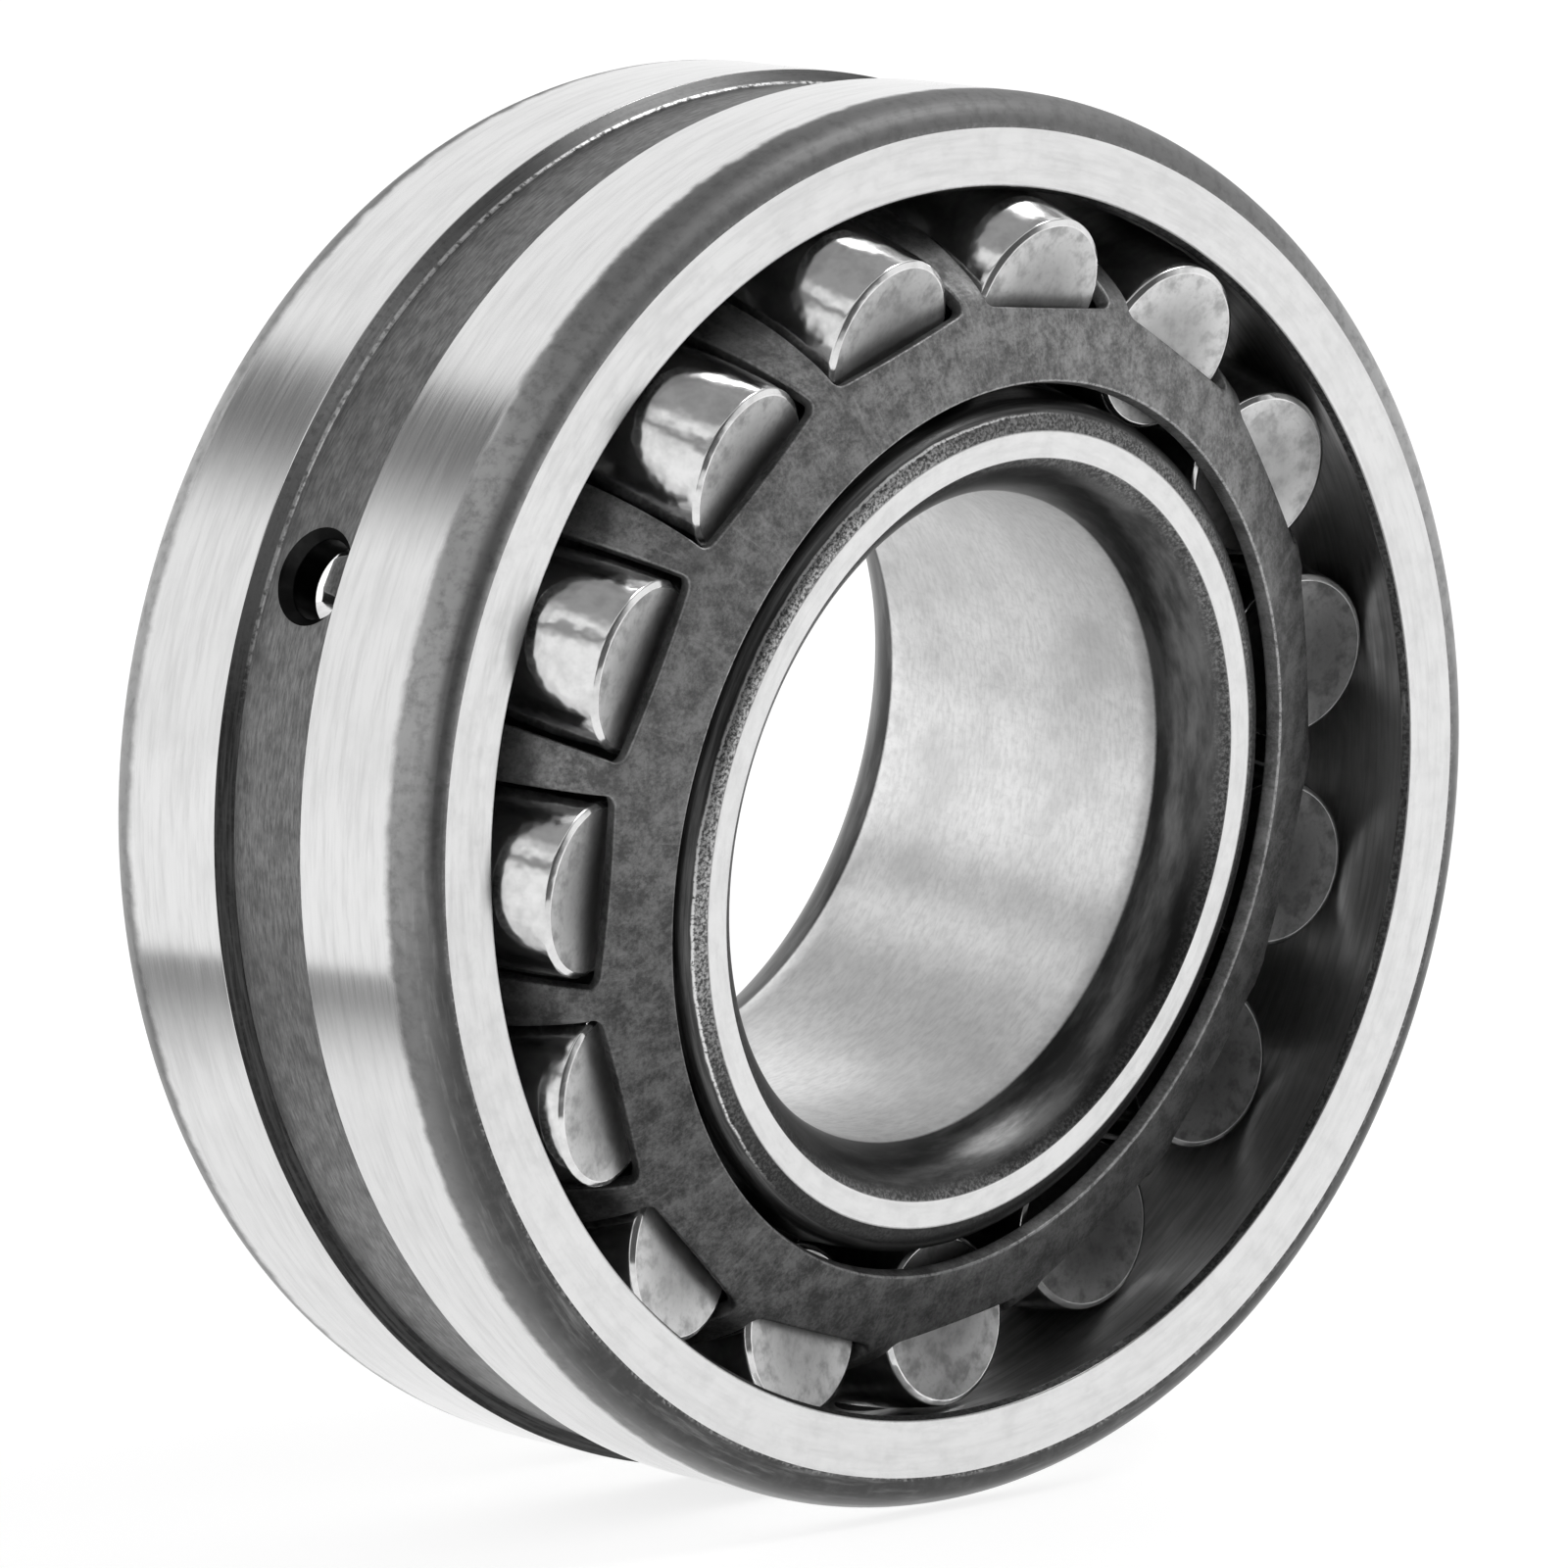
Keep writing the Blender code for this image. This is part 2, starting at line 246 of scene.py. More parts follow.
def arc(centre, radii, start, end, steps):
    """Points of an elliptical arc in a section, both ends included."""
    angles = [start + (end - start) * i / steps for i in range(steps + 1)]
    return [(centre[0] + radii[0] * math.cos(a), centre[1] + radii[1] * math.sin(a)) for a in angles]


def zoned(points, zone):
    """Section points as (radius, height, zone of the stretch that follows, fillet), with no fillets."""
    return [(radius, height, zone, 0.0) for radius, height in points]


def mirrored(section):
    """The section reflected to the rear half, in reverse order, with each stretch keeping its zone."""
    zones = [p[2] for p in section]
    turned_zones = zones[-2::-1] + [zones[-1]]
    return [(p[0], -p[1], z, p[3]) for p, z in zip(reversed(section), turned_zones)]


def rounded(section, closed=True):
    """(radius, height, zone, wear) points with each corner that has a fillet replaced by its arc.

    Sections run clockwise, so a corner whose arc turns the other way is hollow and isn't worn.
    """
    result = []
    count = len(section)
    for i, (radius, height, zone, fillet) in enumerate(section):
        here = Vector((radius, height))
        if fillet == 0.0 or (not closed and i in (0, count - 1)):
            result.append((radius, height, zone, 0.0))
            continue
        before = Vector(section[i - 1][:2]) - here
        after = Vector(section[(i + 1) % count][:2]) - here
        half = before.angle(after) / 2
        reach = min(fillet / math.tan(half), 0.45 * before.length, 0.45 * after.length)
        bisector = (before.normalized() + after.normalized()).normalized()
        centre = here + bisector * reach / math.cos(half)
        first = here + before.normalized() * reach - centre
        sweep = first.angle_signed(here + after.normalized() * reach - centre)
        worn = 1.0 if sweep > 0 else 0.0
        for k in range(FILLET_STEPS + 1):
            spoke = first.copy()
            spoke.rotate(Matrix.Rotation(-sweep * k / FILLET_STEPS, 2))
            wear = 0.0 if k in (0, FILLET_STEPS) else worn
            result.append((centre.x + spoke.x, centre.y + spoke.y, zone, wear))
    return result


def from_roller(along, out):
    """Section point at a place along a front roller's axis, towards the front, and out from that axis."""
    radius = ROW_RADIUS - along * math.sin(CONTACT_ANGLE) + out * math.cos(CONTACT_ANGLE)
    height = ROW_HEIGHT + along * math.cos(CONTACT_ANGLE) + out * math.sin(CONTACT_ANGLE)
    return radius, height


def spread(half_length, steps):
    """Places from one end of a length to the other, about its middle."""
    return [half_length * (1 - 2 * i / steps) for i in range(steps + 1)]


def crown_drop(along, crown):
    """How far a crowned line has fallen at a place along it."""
    return crown - math.sqrt(crown**2 - along**2)


# --- Meshes ---


def turned_mesh(section, steps, zones, closed=True):
    """The section turned about Z, facing outward; a point on the axis becomes one vertex.

    A section's zones are places in the list of zones, whose names are those of their materials.
    """
    count = len(section)
    verts, rows = [], []
    for radius, height, _, _ in section:
        if radius < 1e-9:
            rows.append([len(verts)] * steps)
            verts.append((0.0, 0.0, height))
            continue
        rows.append(list(range(len(verts), len(verts) + steps)))
        for s in range(steps):
            angle = 2 * math.pi * s / steps
            verts.append((radius * math.cos(angle), radius * math.sin(angle), height))
    faces, indices = [], []
    for i in range(count if closed else count - 1):
        near, far = rows[i], rows[(i + 1) % count]
        for s in range(steps):
            n = (s + 1) % steps
            face = [near[s], far[s], far[n], near[n]]
            faces.append(list(dict.fromkeys(face)))
            indices.append(section[i][2])
    mesh = bpy.data.meshes.new("turned_blank")
    mesh.from_pydata(verts, [], faces)
    mesh.polygons.foreach_set("material_index", indices)
    face_outward(mesh)
    for zone in zones:
        mesh.materials.append(MATERIALS[zone])
    return mesh


def face_outward(mesh):
    shape = bmesh.new()
    shape.from_mesh(mesh)
    bmesh.ops.recalc_face_normals(shape, faces=shape.faces)
    shape.to_mesh(mesh)
    shape.free()


def along_section(points, section, closed):
    """Length along the section and wear at each point, from the nearest place on the section."""
    line = np.array([(p[0], p[1]) for p in section])
    wear = np.array([p[3] for p in section])
    ends = np.roll(line, -1, axis=0)
    wear_ends = np.roll(wear, -1)
    if not closed:
        line, ends, wear, wear_ends = line[:-1], ends[:-1], wear[:-1], wear_ends[:-1]
    steps = ends - line
    lengths = np.hypot(steps[:, 0], steps[:, 1])
    starts = np.concatenate([[0.0], np.cumsum(lengths)[:-1]])
    flat = np.stack([np.hypot(points[:, 0], points[:, 1]), points[:, 2]], axis=1)
    away = flat[:, None, :] - line[None, :, :]
    share = (away * steps).sum(2) / np.maximum(lengths**2, 1e-18)
    share = np.clip(share, 0.0, 1.0)
    miss = np.linalg.norm(away - share[:, :, None] * steps[None], axis=2)
    best = miss.argmin(1)
    rows = np.arange(len(points))
    chosen = share[rows, best]
    along = starts[best] + chosen * lengths[best]
    worn = wear[best] * (1 - chosen) + wear_ends[best] * chosen
    return along, worn


def add_attributes(mesh, section, closed=True, wear=None):
    """Stores AXIAL, LATHE and WEAR on the mesh, whose vertices are in its axial frame."""
    points = np.empty(len(mesh.vertices) * 3, np.float32)
    mesh.vertices.foreach_get("co", points)
    points = points.reshape(-1, 3).astype(float)
    along, worn = along_section(points, section, closed)
    radius = np.maximum(np.hypot(points[:, 0], points[:, 1]), 1e-6)
    lathe = np.stack([points[:, 0] / radius, points[:, 1] / radius, along], axis=1)
    mesh.attributes.new(AXIAL, "FLOAT_VECTOR", "POINT").data.foreach_set("vector", points.ravel())
    mesh.attributes.new(LATHE, "FLOAT_VECTOR", "POINT").data.foreach_set("vector", lathe.ravel())
    worn = worn if wear is None else wear
    mesh.attributes.new(WEAR, "FLOAT", "POINT").data.foreach_set("value", worn)


def finished_mesh(section, steps, zones, closed=True):
    """A turned mesh with its attributes."""
    mesh = turned_mesh(section, steps, zones, closed)
    add_attributes(mesh, section, closed)
    return mesh


def evaluated_mesh(obj):
    """A new mesh of the object with its modifiers applied."""
    graph = bpy.context.evaluated_depsgraph_get()
    return bpy.data.meshes.new_from_object(obj.evaluated_get(graph), depsgraph=graph)


def new_object(name, data, matrix):
    obj = bpy.data.objects.new(name, data)
    bpy.context.scene.collection.objects.link(obj)
    obj.matrix_world = matrix
    return obj


def add_piece(name, mesh, matrix, node):
    """A finished piece that stands for a CAD node and rides on its body, which has the node's name.

    Its place is in its own copy of the mesh, and the attributes keep the mesh's axial frame.
    """
    placed = mesh.copy()
    placed.name = name
    placed.transform(matrix)
    placed.shade_smooth()
    placed.set_sharp_from_angle(angle=SHARP_ANGLE)
    obj = new_object(name, placed, Matrix.Identity(4))
    shading = obj.modifiers.new("Weighted normals", "WEIGHTED_NORMAL")
    shading.keep_sharp = True
    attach(obj, node)
    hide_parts(node)
    return obj


# --- Outer ring ---

OUTER_ZONES = ("outer_land", "outer_face", "outer_chamfer", "raceway", "groove_floor", "groove_wall", "hole")
LAND, FACE, CHAMFER, RACEWAY, GROOVE_FLOOR, GROOVE_WALL = range(6)


def outer_ring_section():
    corner = arc(
        (OUTER_RADIUS - OUTER_CORNER_RADIAL, CORNER_START),
        (OUTER_CORNER_RADIAL, OUTER_CORNER_AXIAL),
        math.pi / 2,
        0.0,
        OUTER_CORNER_STEPS,
    )
    half = [
        (OUTER_FACE_INNER_RADIUS, HALF_WIDTH, FACE, FINE_FILLET),
        *zoned(corner, LAND),
        (OUTER_RADIUS, GROOVE_HALF_WIDTH, GROOVE_WALL, EDGE_FILLET),
        (GROOVE_FLOOR_RADIUS, GROOVE_FLOOR_HALF_WIDTH, GROOVE_FLOOR, HOLLOW_FILLET),
    ]
    raceway_end = math.asin((HALF_WIDTH - OUTER_EDGE_CHAMFER) / OUTER_RACEWAY_RADIUS)
    radii = (OUTER_RACEWAY_RADIUS, OUTER_RACEWAY_RADIUS)
    raceway = arc((0.0, 0.0), radii, -raceway_end, raceway_end, OUTER_RACEWAY_STEPS)
    rear = mirrored(half)
    rear[-1] = (*rear[-1][:2], CHAMFER, rear[-1][3])
    return rounded(
        half
        + rear
        + [(*raceway[0], RACEWAY, EDGE_FILLET)]
        + zoned(raceway[1:-1], RACEWAY)
        + [(*raceway[-1], CHAMFER, EDGE_FILLET)]
    )


def hole_cutter(matrix):
    """A stepped plug for one lubrication hole, standing on local Z, which breaks the mouth's edge."""
    mouth, edge = GREASE_HOLE_MOUTH_RADIUS, GREASE_HOLE_EDGE
    bottom = OUTER_RACEWAY_RADIUS - GREASE_HOLE_RADIUS
    throat = GROOVE_FLOOR_RADIUS - GREASE_HOLE_MOUTH_DEPTH
    section = rounded(
        [
            (0.0, OUTER_RADIUS, 0, 0.0),
            (mouth + 4 * edge, OUTER_RADIUS, 0, 0.0),
            (mouth + 2 * edge, GROOVE_FLOOR_RADIUS + edge, 0, 0.0),
            (mouth - edge, GROOVE_FLOOR_RADIUS - 3 * edge, 0, HOLLOW_FILLET),
            (GREASE_HOLE_RADIUS, throat, 0, HOLLOW_FILLET),
            (GREASE_HOLE_RADIUS, bottom, 0, 0.0),
            (0.0, bottom, 0, 0.0),
        ],
        closed=False,
    )
    return new_object("hole_cutter", turned_mesh(section, HOLE_STEPS, ("hole",), closed=False), matrix)


def add_outer_ring():
    section = outer_ring_section()
    ring = new_object("outer_ring_blank", turned_mesh(section, RING_STEPS, OUTER_ZONES), Matrix.Identity(4))
    cutters = []
    lift = Matrix.Translation((0.0, 0.0, GREASE_HOLE_HEIGHT))
    for index in range(GREASE_HOLE_COUNT):
        angle = GREASE_HOLE_ANGLE + 2 * math.pi * index / GREASE_HOLE_COUNT
        turn = Matrix.Rotation(angle, 4, "Z") @ Matrix.Rotation(math.pi / 2, 4, "Y")
        cutters.append(hole_cutter(lift @ turn))
        cut = ring.modifiers.new("Hole", "BOOLEAN")
        cut.operation = "DIFFERENCE"
        cut.object = cutters[-1]
        cut.material_mode = "TRANSFER"
    finished = evaluated_mesh(ring)
    for obj in [ring, *cutters]:
        bpy.data.objects.remove(obj)
    add_attributes(finished, section)
    add_piece("outer_ring_ground", finished, OUTER_FRAME, "outer_ring")


# --- Inner ring and guide ring ---

INNER_ZONES = ("bore", "inner_face", "inner_corner", "raceway")
BORE, INNER_FACE, INNER_CORNER, INNER_RACEWAY = range(4)


def inner_ring_section():
    axial = HALF_WIDTH - BORE_CORNER_START
    radius = (axial**2 + BORE_CORNER_RADIAL**2) / (2 * BORE_CORNER_RADIAL)
    bore_corner = arc(
        (BORE_RADIUS + radius, BORE_CORNER_START),
        (radius, radius),
        math.pi,
        math.pi - math.asin(axial / radius),
        BORE_CORNER_STEPS,
    )
    face_corner = arc(
        (INNER_FACE_OUTER_RADIUS, HALF_WIDTH - INNER_CORNER_AXIAL),
        (INNER_SHOULDER_RADIUS - INNER_FACE_OUTER_RADIUS, INNER_CORNER_AXIAL),
        math.pi / 2,
        0.0,
        INNER_CORNER_STEPS,
    )
    clearance = ROLLER_RADIUS + RUNNING_GAP
    places = spread(INNER_RACEWAY_HALF_LENGTH, INNER_RACEWAY_STEPS)
    raceway = [from_roller(a, crown_drop(a, INNER_RACEWAY_CROWN) - clearance) for a in places]
    half = [
        *zoned(bore_corner[:-1], BORE),
        (*bore_corner[-1], INNER_FACE, EDGE_FILLET),
        *zoned(face_corner[:-1], INNER_CORNER),
        (*face_corner[-1], INNER_CORNER, SHOULDER_FILLET),
        (*raceway[0], INNER_RACEWAY, HOLLOW_FILLET),
        *zoned(raceway[1:], INNER_RACEWAY),
    ]
    rear = mirrored(half)
    rear[-1] = (*rear[-1][:2], BORE, rear[-1][3])
    return rounded(half + rear)


def guide_ring_section():
    slope = math.tan(CONTACT_ANGLE)
    end_radius, end_height = from_roller(-ROLLER_HALF_LENGTH, 0.0)

    def half_width(radius):
        return end_height + (radius - end_radius) * slope - END_GAP

    half = [
        (GUIDE_BORE_RADIUS, half_width(GUIDE_BORE_RADIUS), 0, GUIDE_BORE_FILLET),
        (GUIDE_OUTER_RADIUS, half_width(GUIDE_OUTER_RADIUS - GUIDE_CORNER), 0, GUIDE_CORNER),
    ]
    return rounded(half + mirrored(half))


# --- Rollers ---

ROLLER_ZONES = ("roller_side", "roller_end")
SIDE, END = range(2)


def roller_section():
    half = ROLLER_HALF_LENGTH
    shoulder = half - ROLLER_CORNER_LENGTH
    places = spread(shoulder, ROLLER_BARREL_STEPS)
    barrel = [(ROLLER_RADIUS - crown_drop(place, ROLLER_CROWN_RADIUS), place) for place in places]
    face_radius = barrel[0][0] - ROLLER_CORNER
    return rounded(
        [
            (0.0, half, END, 0.0),
            (face_radius * 0.5, half, END, 0.0),
            (face_radius, half, SIDE, ROLLER_FILLET),
            (*barrel[0], SIDE, ROLLER_FILLET),
            *zoned(barrel[1:-1], SIDE),
            (*barrel[-1], SIDE, ROLLER_FILLET),
            (face_radius, -half, END, ROLLER_FILLET),
            (face_radius * 0.5, -half, END, 0.0),
            (0.0, -half, END, 0.0),
        ],
        closed=False,
    )


def add_rollers(row, mesh, front, end_shades):
    """One row's rollers, each along its own joint's axis and turned about it by its own amount."""
    for index in range(ROLLERS_PER_ROW):
        node = f"roller_{row}_{index + 1:02d}"
        joint = JOINTS[node + "_spin"]
        axis = Vector(joint["axis"])
        axis = axis if axis.dot(front) > 0 else -axis
        place = Matrix.Translation(joint["pos_m"]) @ axis.to_track_quat("Z", "X").to_matrix().to_4x4()
        turn = Matrix.Rotation(PITCH_ANGLE * ROLLER_TURN * index, 4, "Z")
        piece = add_piece(f"barrel_{row}_{index + 1:02d}", mesh, place @ turn, node)
        # Painted shade on this roller's end
        piece[END_SHADE] = end_shades[index]


# --- Cages ---


class CageProfile:
    """The sheet's outer line as a smooth curve: radius and height at a length along it."""

    def __init__(self):
        knots = [
            FLANGE_INNER_EDGE,
            FLANGE_POCKET_EDGE,
            BAR_BEND,
            BAR_SHOULDER,
            BAR_MIDDLE,
            MIDDLE_RING_FRONT,
            MIDDLE_RING_REAR,
        ]
        points = np.array(knots)
        for _ in range(CAGE_CURVE_ROUNDS):
            points = self.cut_corners(points)
        steps = np.linalg.norm(np.diff(points, axis=0), axis=1)
        self.points = points
        self.lengths = np.concatenate([[0.0], np.cumsum(steps)])
        self.total = self.lengths[-1]

    @staticmethod
    def cut_corners(points):
        """One round of corner cutting, which leaves the ends where they are."""
        near = points[:-1] * 0.75 + points[1:] * 0.25
        far = points[:-1] * 0.25 + points[1:] * 0.75
        inner = np.stack([near, far], axis=1).reshape(-1, 2)[1:-1]
        return np.concatenate([points[:1], inner, points[-1:]])

    def at(self, length):
        return (
            float(np.interp(length, self.lengths, self.points[:, 0])),
            float(np.interp(length, self.lengths, self.points[:, 1])),
        )

    def where_radius(self, radius):
        return float(np.interp(radius, self.points[:, 0], self.lengths))

    def section(self):
        return zoned(self.points, 0)


def pocket_outline(front, rear):
    """Half a pocket's edge, from its front middle to its rear middle, as (tangential offset, length).

    The sides are parallel, the front is a straight chord and the corners have a radius.
    """
    wide, corner = POCKET_HALF_WIDTH, POCKET_CORNER
    straight, first, last = wide - corner, front + corner, rear - corner
    turns = [math.pi / 2 * i / POCKET_CORNER_STEPS for i in range(POCKET_CORNER_STEPS + 1)]
    shares = [(i / POCKET_SIDE_STEPS) ** POCKET_SIDE_CROWDING for i in range(1, POCKET_SIDE_STEPS)]
    half = [(i / POCKET_FRONT_STEPS * straight, front) for i in range(POCKET_FRONT_STEPS)]
    half += [(straight + corner * math.sin(turn), first - corner * math.cos(turn)) for turn in turns]
    half += [(wide, first + (last - first) * share) for share in shares]
    half += [(straight + corner * math.cos(turn), last + corner * math.sin(turn)) for turn in turns]
    half += [(straight * (1 - i / POCKET_FRONT_STEPS), rear) for i in range(1, POCKET_FRONT_STEPS + 1)]
    return half


def pocket_edge(profile, front, rear):
    """Half a pocket's edge on the sheet, as (angle from its middle, length along the profile).

    The straight front chord falls behind the circle that it leaves, and this fades along the bar.
    """
    edge = []
    for offset, length in pocket_outline(front, rear):
        drop = profile.where_radius(math.hypot(FLANGE_POCKET_EDGE[0], offset)) - front
        length += drop * max(0.0, 1.0 - (length - front) / POCKET_BOW_LENGTH)
        edge.append((math.asin(offset / profile.at(length)[0]), length))
    return edge


def sector_border(edge, before, behind):
    """The border of half a sector round its pocket, with a point for each point of the pocket's edge."""
    half_pitch = PITCH_ANGLE / 2
    low, high = edge[FRONT_CORNER][1], edge[REAR_CORNER][1]
    last = len(edge) - 1
    border = []
    for i, (_, length) in enumerate(edge):
        if i < FRONT_CORNER:
            border.append((half_pitch * i / FRONT_CORNER, before))
        elif i <= REAR_CORNER:
            border.append((half_pitch, before + (behind - before) * (length - low) / (high - low)))
        else:
            border.append((half_pitch * (last - i) / (last - REAR_CORNER), behind))
    return border


def between(start, end, steps):
    """Places in a row from one place to another, both ends included."""
    return [tuple(a + (b - a) * i / steps for a, b in zip(start, end)) for i in range(steps + 1)]


def strip(border, start, end, steps):
    """Rows of places from one length to another, at the angles of a stretch of the border."""
    levels = [start + (end - start) * i / steps for i in range(steps + 1)]
    return [[(angle, level) for angle, _ in border] for level in levels]


class Sheet:
    """The cage's outer line as an open sheet of quads, placed by angle and length along the profile."""

    def __init__(self, profile):
        self.profile = profile
        self.shape = bmesh.new()
        self.welded = {}

    def vert(self, angle, length):
        """The vertex at a place, the same one for places that meet."""
        radius, height = self.profile.at(length)
        place = (radius * math.cos(angle), radius * math.sin(angle), height)
        key = tuple(round(c * 1e7) for c in place)
        if key not in self.welded:
            self.welded[key] = self.shape.verts.new(place)
        return self.welded[key]

    def fill(self, rows):
        """Faces between rows of places; where two corners meet, the face is a triangle."""
        for row, after in zip(rows, rows[1:]):
            for k in range(len(row) - 1):
                places = (row[k], row[k + 1], after[k + 1], after[k])
                corners = list(dict.fromkeys(self.vert(*place) for place in places))
                if len(corners) > 2:
                    self.shape.faces.new(corners)

    def mesh(self, name):
        """The finished sheet, facing away from the rollers: its first face is on the flange."""
        bmesh.ops.recalc_face_normals(self.shape, faces=self.shape.faces)
        self.shape.faces.ensure_lookup_table()
        if self.shape.faces[0].normal.z < 0:
            bmesh.ops.reverse_faces(self.shape, faces=self.shape.faces)
        mesh = bpy.data.meshes.new(name)
        self.shape.to_mesh(mesh)
        self.shape.free()
        return mesh


def cage_sheet(profile):
    """The cage as a sheet: 15 sectors, each a frame round its pocket between flange and middle ring."""
    front = profile.where_radius(FLANGE_POCKET_EDGE[0])
    rear = profile.where_radius(MIDDLE_RING_FRONT[0])
    before = front - POCKET_FRAME
    behind = rear + (profile.total - rear) * REAR_FRAME_SHARE
    edge = pocket_edge(profile, front, rear)
    border = sector_border(edge, before, behind)
    stretches = (
        [between(*ends, FRAME_STEPS) for ends in zip(edge, border)],
        strip(border[: FRONT_CORNER + 1], 0.0, before, FLANGE_STEPS),
        strip(border[REAR_CORNER:], behind, profile.total, MIDDLE_RING_STEPS),
    )
    sheet = Sheet(profile)
    for pocket in range(ROLLERS_PER_ROW):
        middle = pocket * PITCH_ANGLE
        for side in (1, -1):
            for rows in stretches:
                sheet.fill([[(middle + side * angle, length) for angle, length in row] for row in rows])
    return sheet.mesh("cage_sheet")


def edge_wear(mesh):
    """Wear of 1 on the rolled rim and less on the pockets' edges, whose faces have the second material."""
    faces_round = np.zeros((2, len(mesh.vertices)))
    for polygon in mesh.polygons:
        faces_round[polygon.material_index, list(polygon.vertices)] += 1
        polygon.material_index = 0
    worn = (faces_round[0] == 0).astype(float)
    radii = np.array([math.hypot(v.co.x, v.co.y) for v in mesh.vertices])
    worn[radii > CAGE_RIM_RADIUS] *= POCKET_EDGE_WEAR
    return worn


def cage_mesh():
    """One cage: its sheet made thick, with its edges rolled round and marked by a second material."""
    profile = CageProfile()
    mesh = cage_sheet(profile)
    mesh.materials.append(MATERIALS["cage"])
    mesh.materials.append(MATERIALS["cage"])
    blank = new_object("cage_blank", mesh, Matrix.Identity(4))
    thick = blank.modifiers.new("Sheet", "SOLIDIFY")
    thick.thickness = SHEET_THICKNESS
    thick.offset = -1.0
    thick.use_even_offset = True
    edges = blank.modifiers.new("Edges", "BEVEL")
    edges.width = CAGE_EDGE
    edges.segments = CAGE_EDGE_STEPS
    edges.limit_method = "ANGLE"
    edges.angle_limit = CAGE_EDGE_ANGLE
    edges.material = 1
    finished = evaluated_mesh(blank)
    bpy.data.objects.remove(blank)
    worn = edge_wear(finished)
    finished.materials.pop(index=1)
    add_attributes(finished, profile.section(), closed=False, wear=worn)
    return finished


# --- Materials ---


class Nodes:
    """A node tree under construction: each method adds a node and gives back its output socket."""

    def __init__(self, tree):
        self.tree = tree

    def node(self, kind, settings, **inputs):
        node = self.tree.nodes.new("ShaderNode" + kind)
        for key, value in settings.items():
            setattr(node, key, value)
        for key, value in inputs.items():
            self.plug(node.inputs[key.replace("_", " ")], value)
        return node

    def plug(self, socket, value):
        if isinstance(value, bpy.types.NodeSocket):
            self.tree.links.new(value, socket)
        else:
            socket.default_value = value

    def vector(self, operation, first, second=(0.0, 0.0, 0.0)):
        node = self.node("VectorMath", {"operation": operation})
        self.plug(node.inputs[0], first)
        self.plug(node.inputs[1], second)
        return node.outputs["Value" if operation in ("LENGTH", "DOT_PRODUCT") else "Vector"]

    def dot(self, first, second):
        return self.vector("DOT_PRODUCT", first, second)

    def seen_directly(self):
        """1 for what a picture shows directly and 0 for what reflections and lighting see."""
        return self.node("LightPath", {}).outputs["Is Camera Ray"]

    def noise(self, vector, scale=1.0, detail=4.0, rough=0.55):
        node = self.node("TexNoise", {}, Vector=vector, Scale=scale, Detail=detail, Roughness=rough)
        return node.outputs["Fac"]

    def band(self, value, low, high, to_low=0.0, to_high=1.0):
        """A smooth step from one value to the other between low and high."""
        node = self.node("MapRange", {"interpolation_type": "SMOOTHSTEP"}, Value=value)
        limits = {"From Min": low, "From Max": high, "To Min": to_low, "To Max": to_high}
        for key, number in limits.items():
            self.plug(node.inputs[key], number)
        return node.outputs[0]

    def maths(self, operation, first, second=0.0, third=0.0):
        node = self.node("Math", {"operation": operation})
        for socket, value in zip(node.inputs, (first, second, third)):
            self.plug(socket, value)
        return node.outputs[0]

    def times(self, first, second):
        return self.maths("MULTIPLY", first, second)

    def shaken(self, value, noise, amount):
        """The value moved up or down by noise, by up to about half the amount."""
        return self.maths("ADD", value, self.maths("MULTIPLY_ADD", noise, amount, -amount / 2))

    def mix(self, share, first, second):
        """Two greys, or sockets, mixed as colours."""
        node = self.node("Mix", {"data_type": "RGBA"})
        self.plug(node.inputs["Factor"], share)
        for socket, value in ((node.inputs[6], first), (node.inputs[7], second)):
            if isinstance(value, (int, float)):
                value = (value, value, value, 1.0)
            self.plug(socket, value)
        return node.outputs[2]


class Paint(Nodes):
    """A metal under construction, with helpers for the attributes its pieces carry."""

    def __init__(self, name, metallic=1.0):
        self.material = bpy.data.materials.new(name)
        self.material.use_nodes = True
        super().__init__(self.material.node_tree)
        self.shader = self.tree.nodes["Principled BSDF"]
        self.shader.inputs["Metallic"].default_value = metallic

    def attribute(self, name):
        kind = "OBJECT" if name == END_SHADE else "GEOMETRY"
        node = self.node("Attribute", {"attribute_name": name, "attribute_type": kind})
        return node.outputs["Fac" if name in (WEAR, END_SHADE) else "Vector"]

    def scaled(self, name, scale):
        """An attribute's vector times a vector, as noise coordinates."""
        return self.vector("MULTIPLY", self.attribute(name), scale)

    def radius(self):
        """Distance from the axis."""
        return self.vector("LENGTH", self.scaled(AXIAL, (1.0, 1.0, 0.0)))

    def height(self):
        """Distance from the middle plane."""
        return self.vector("LENGTH", self.scaled(AXIAL, (0.0, 0.0, 1.0)))

    def upward(self):
        """The sine of the angle round the ring: 1 at its top and -1 at its foot."""
        return self.dot(self.attribute(LATHE), (0.0, 1.0, 0.0))

    def side(self, direction, low, high):
        """From 0 to 1 towards one side of the ring, whose direction is a place in its axial frame."""
        return self.band(self.dot(self.attribute(LATHE), direction), low, high)

    def bump(self, height, strength, distance):
        node = self.node("Bump", {}, Height=height, Strength=strength, Distance=distance)
        self.tree.links.new(node.outputs[0], self.shader.inputs["Normal"])

    def clouds(self, per_metre, detail=4.0, rough=0.6):
        return self.noise(self.scaled(AXIAL, (per_metre,) * 3), detail=detail, rough=rough)

    def lines(self, around, across, detail=3.0, rough=0.6):
        """Lines round the axis: variations in one radian, and in one metre across."""
        return self.noise(self.scaled(LATHE, (around, around, across)), detail=detail, rough=rough)

    def finish(self, colour, roughness):
        self.plug(self.shader.inputs["Base Color"], colour)
        self.plug(self.shader.inputs["Roughness"], roughness)
        return self.material


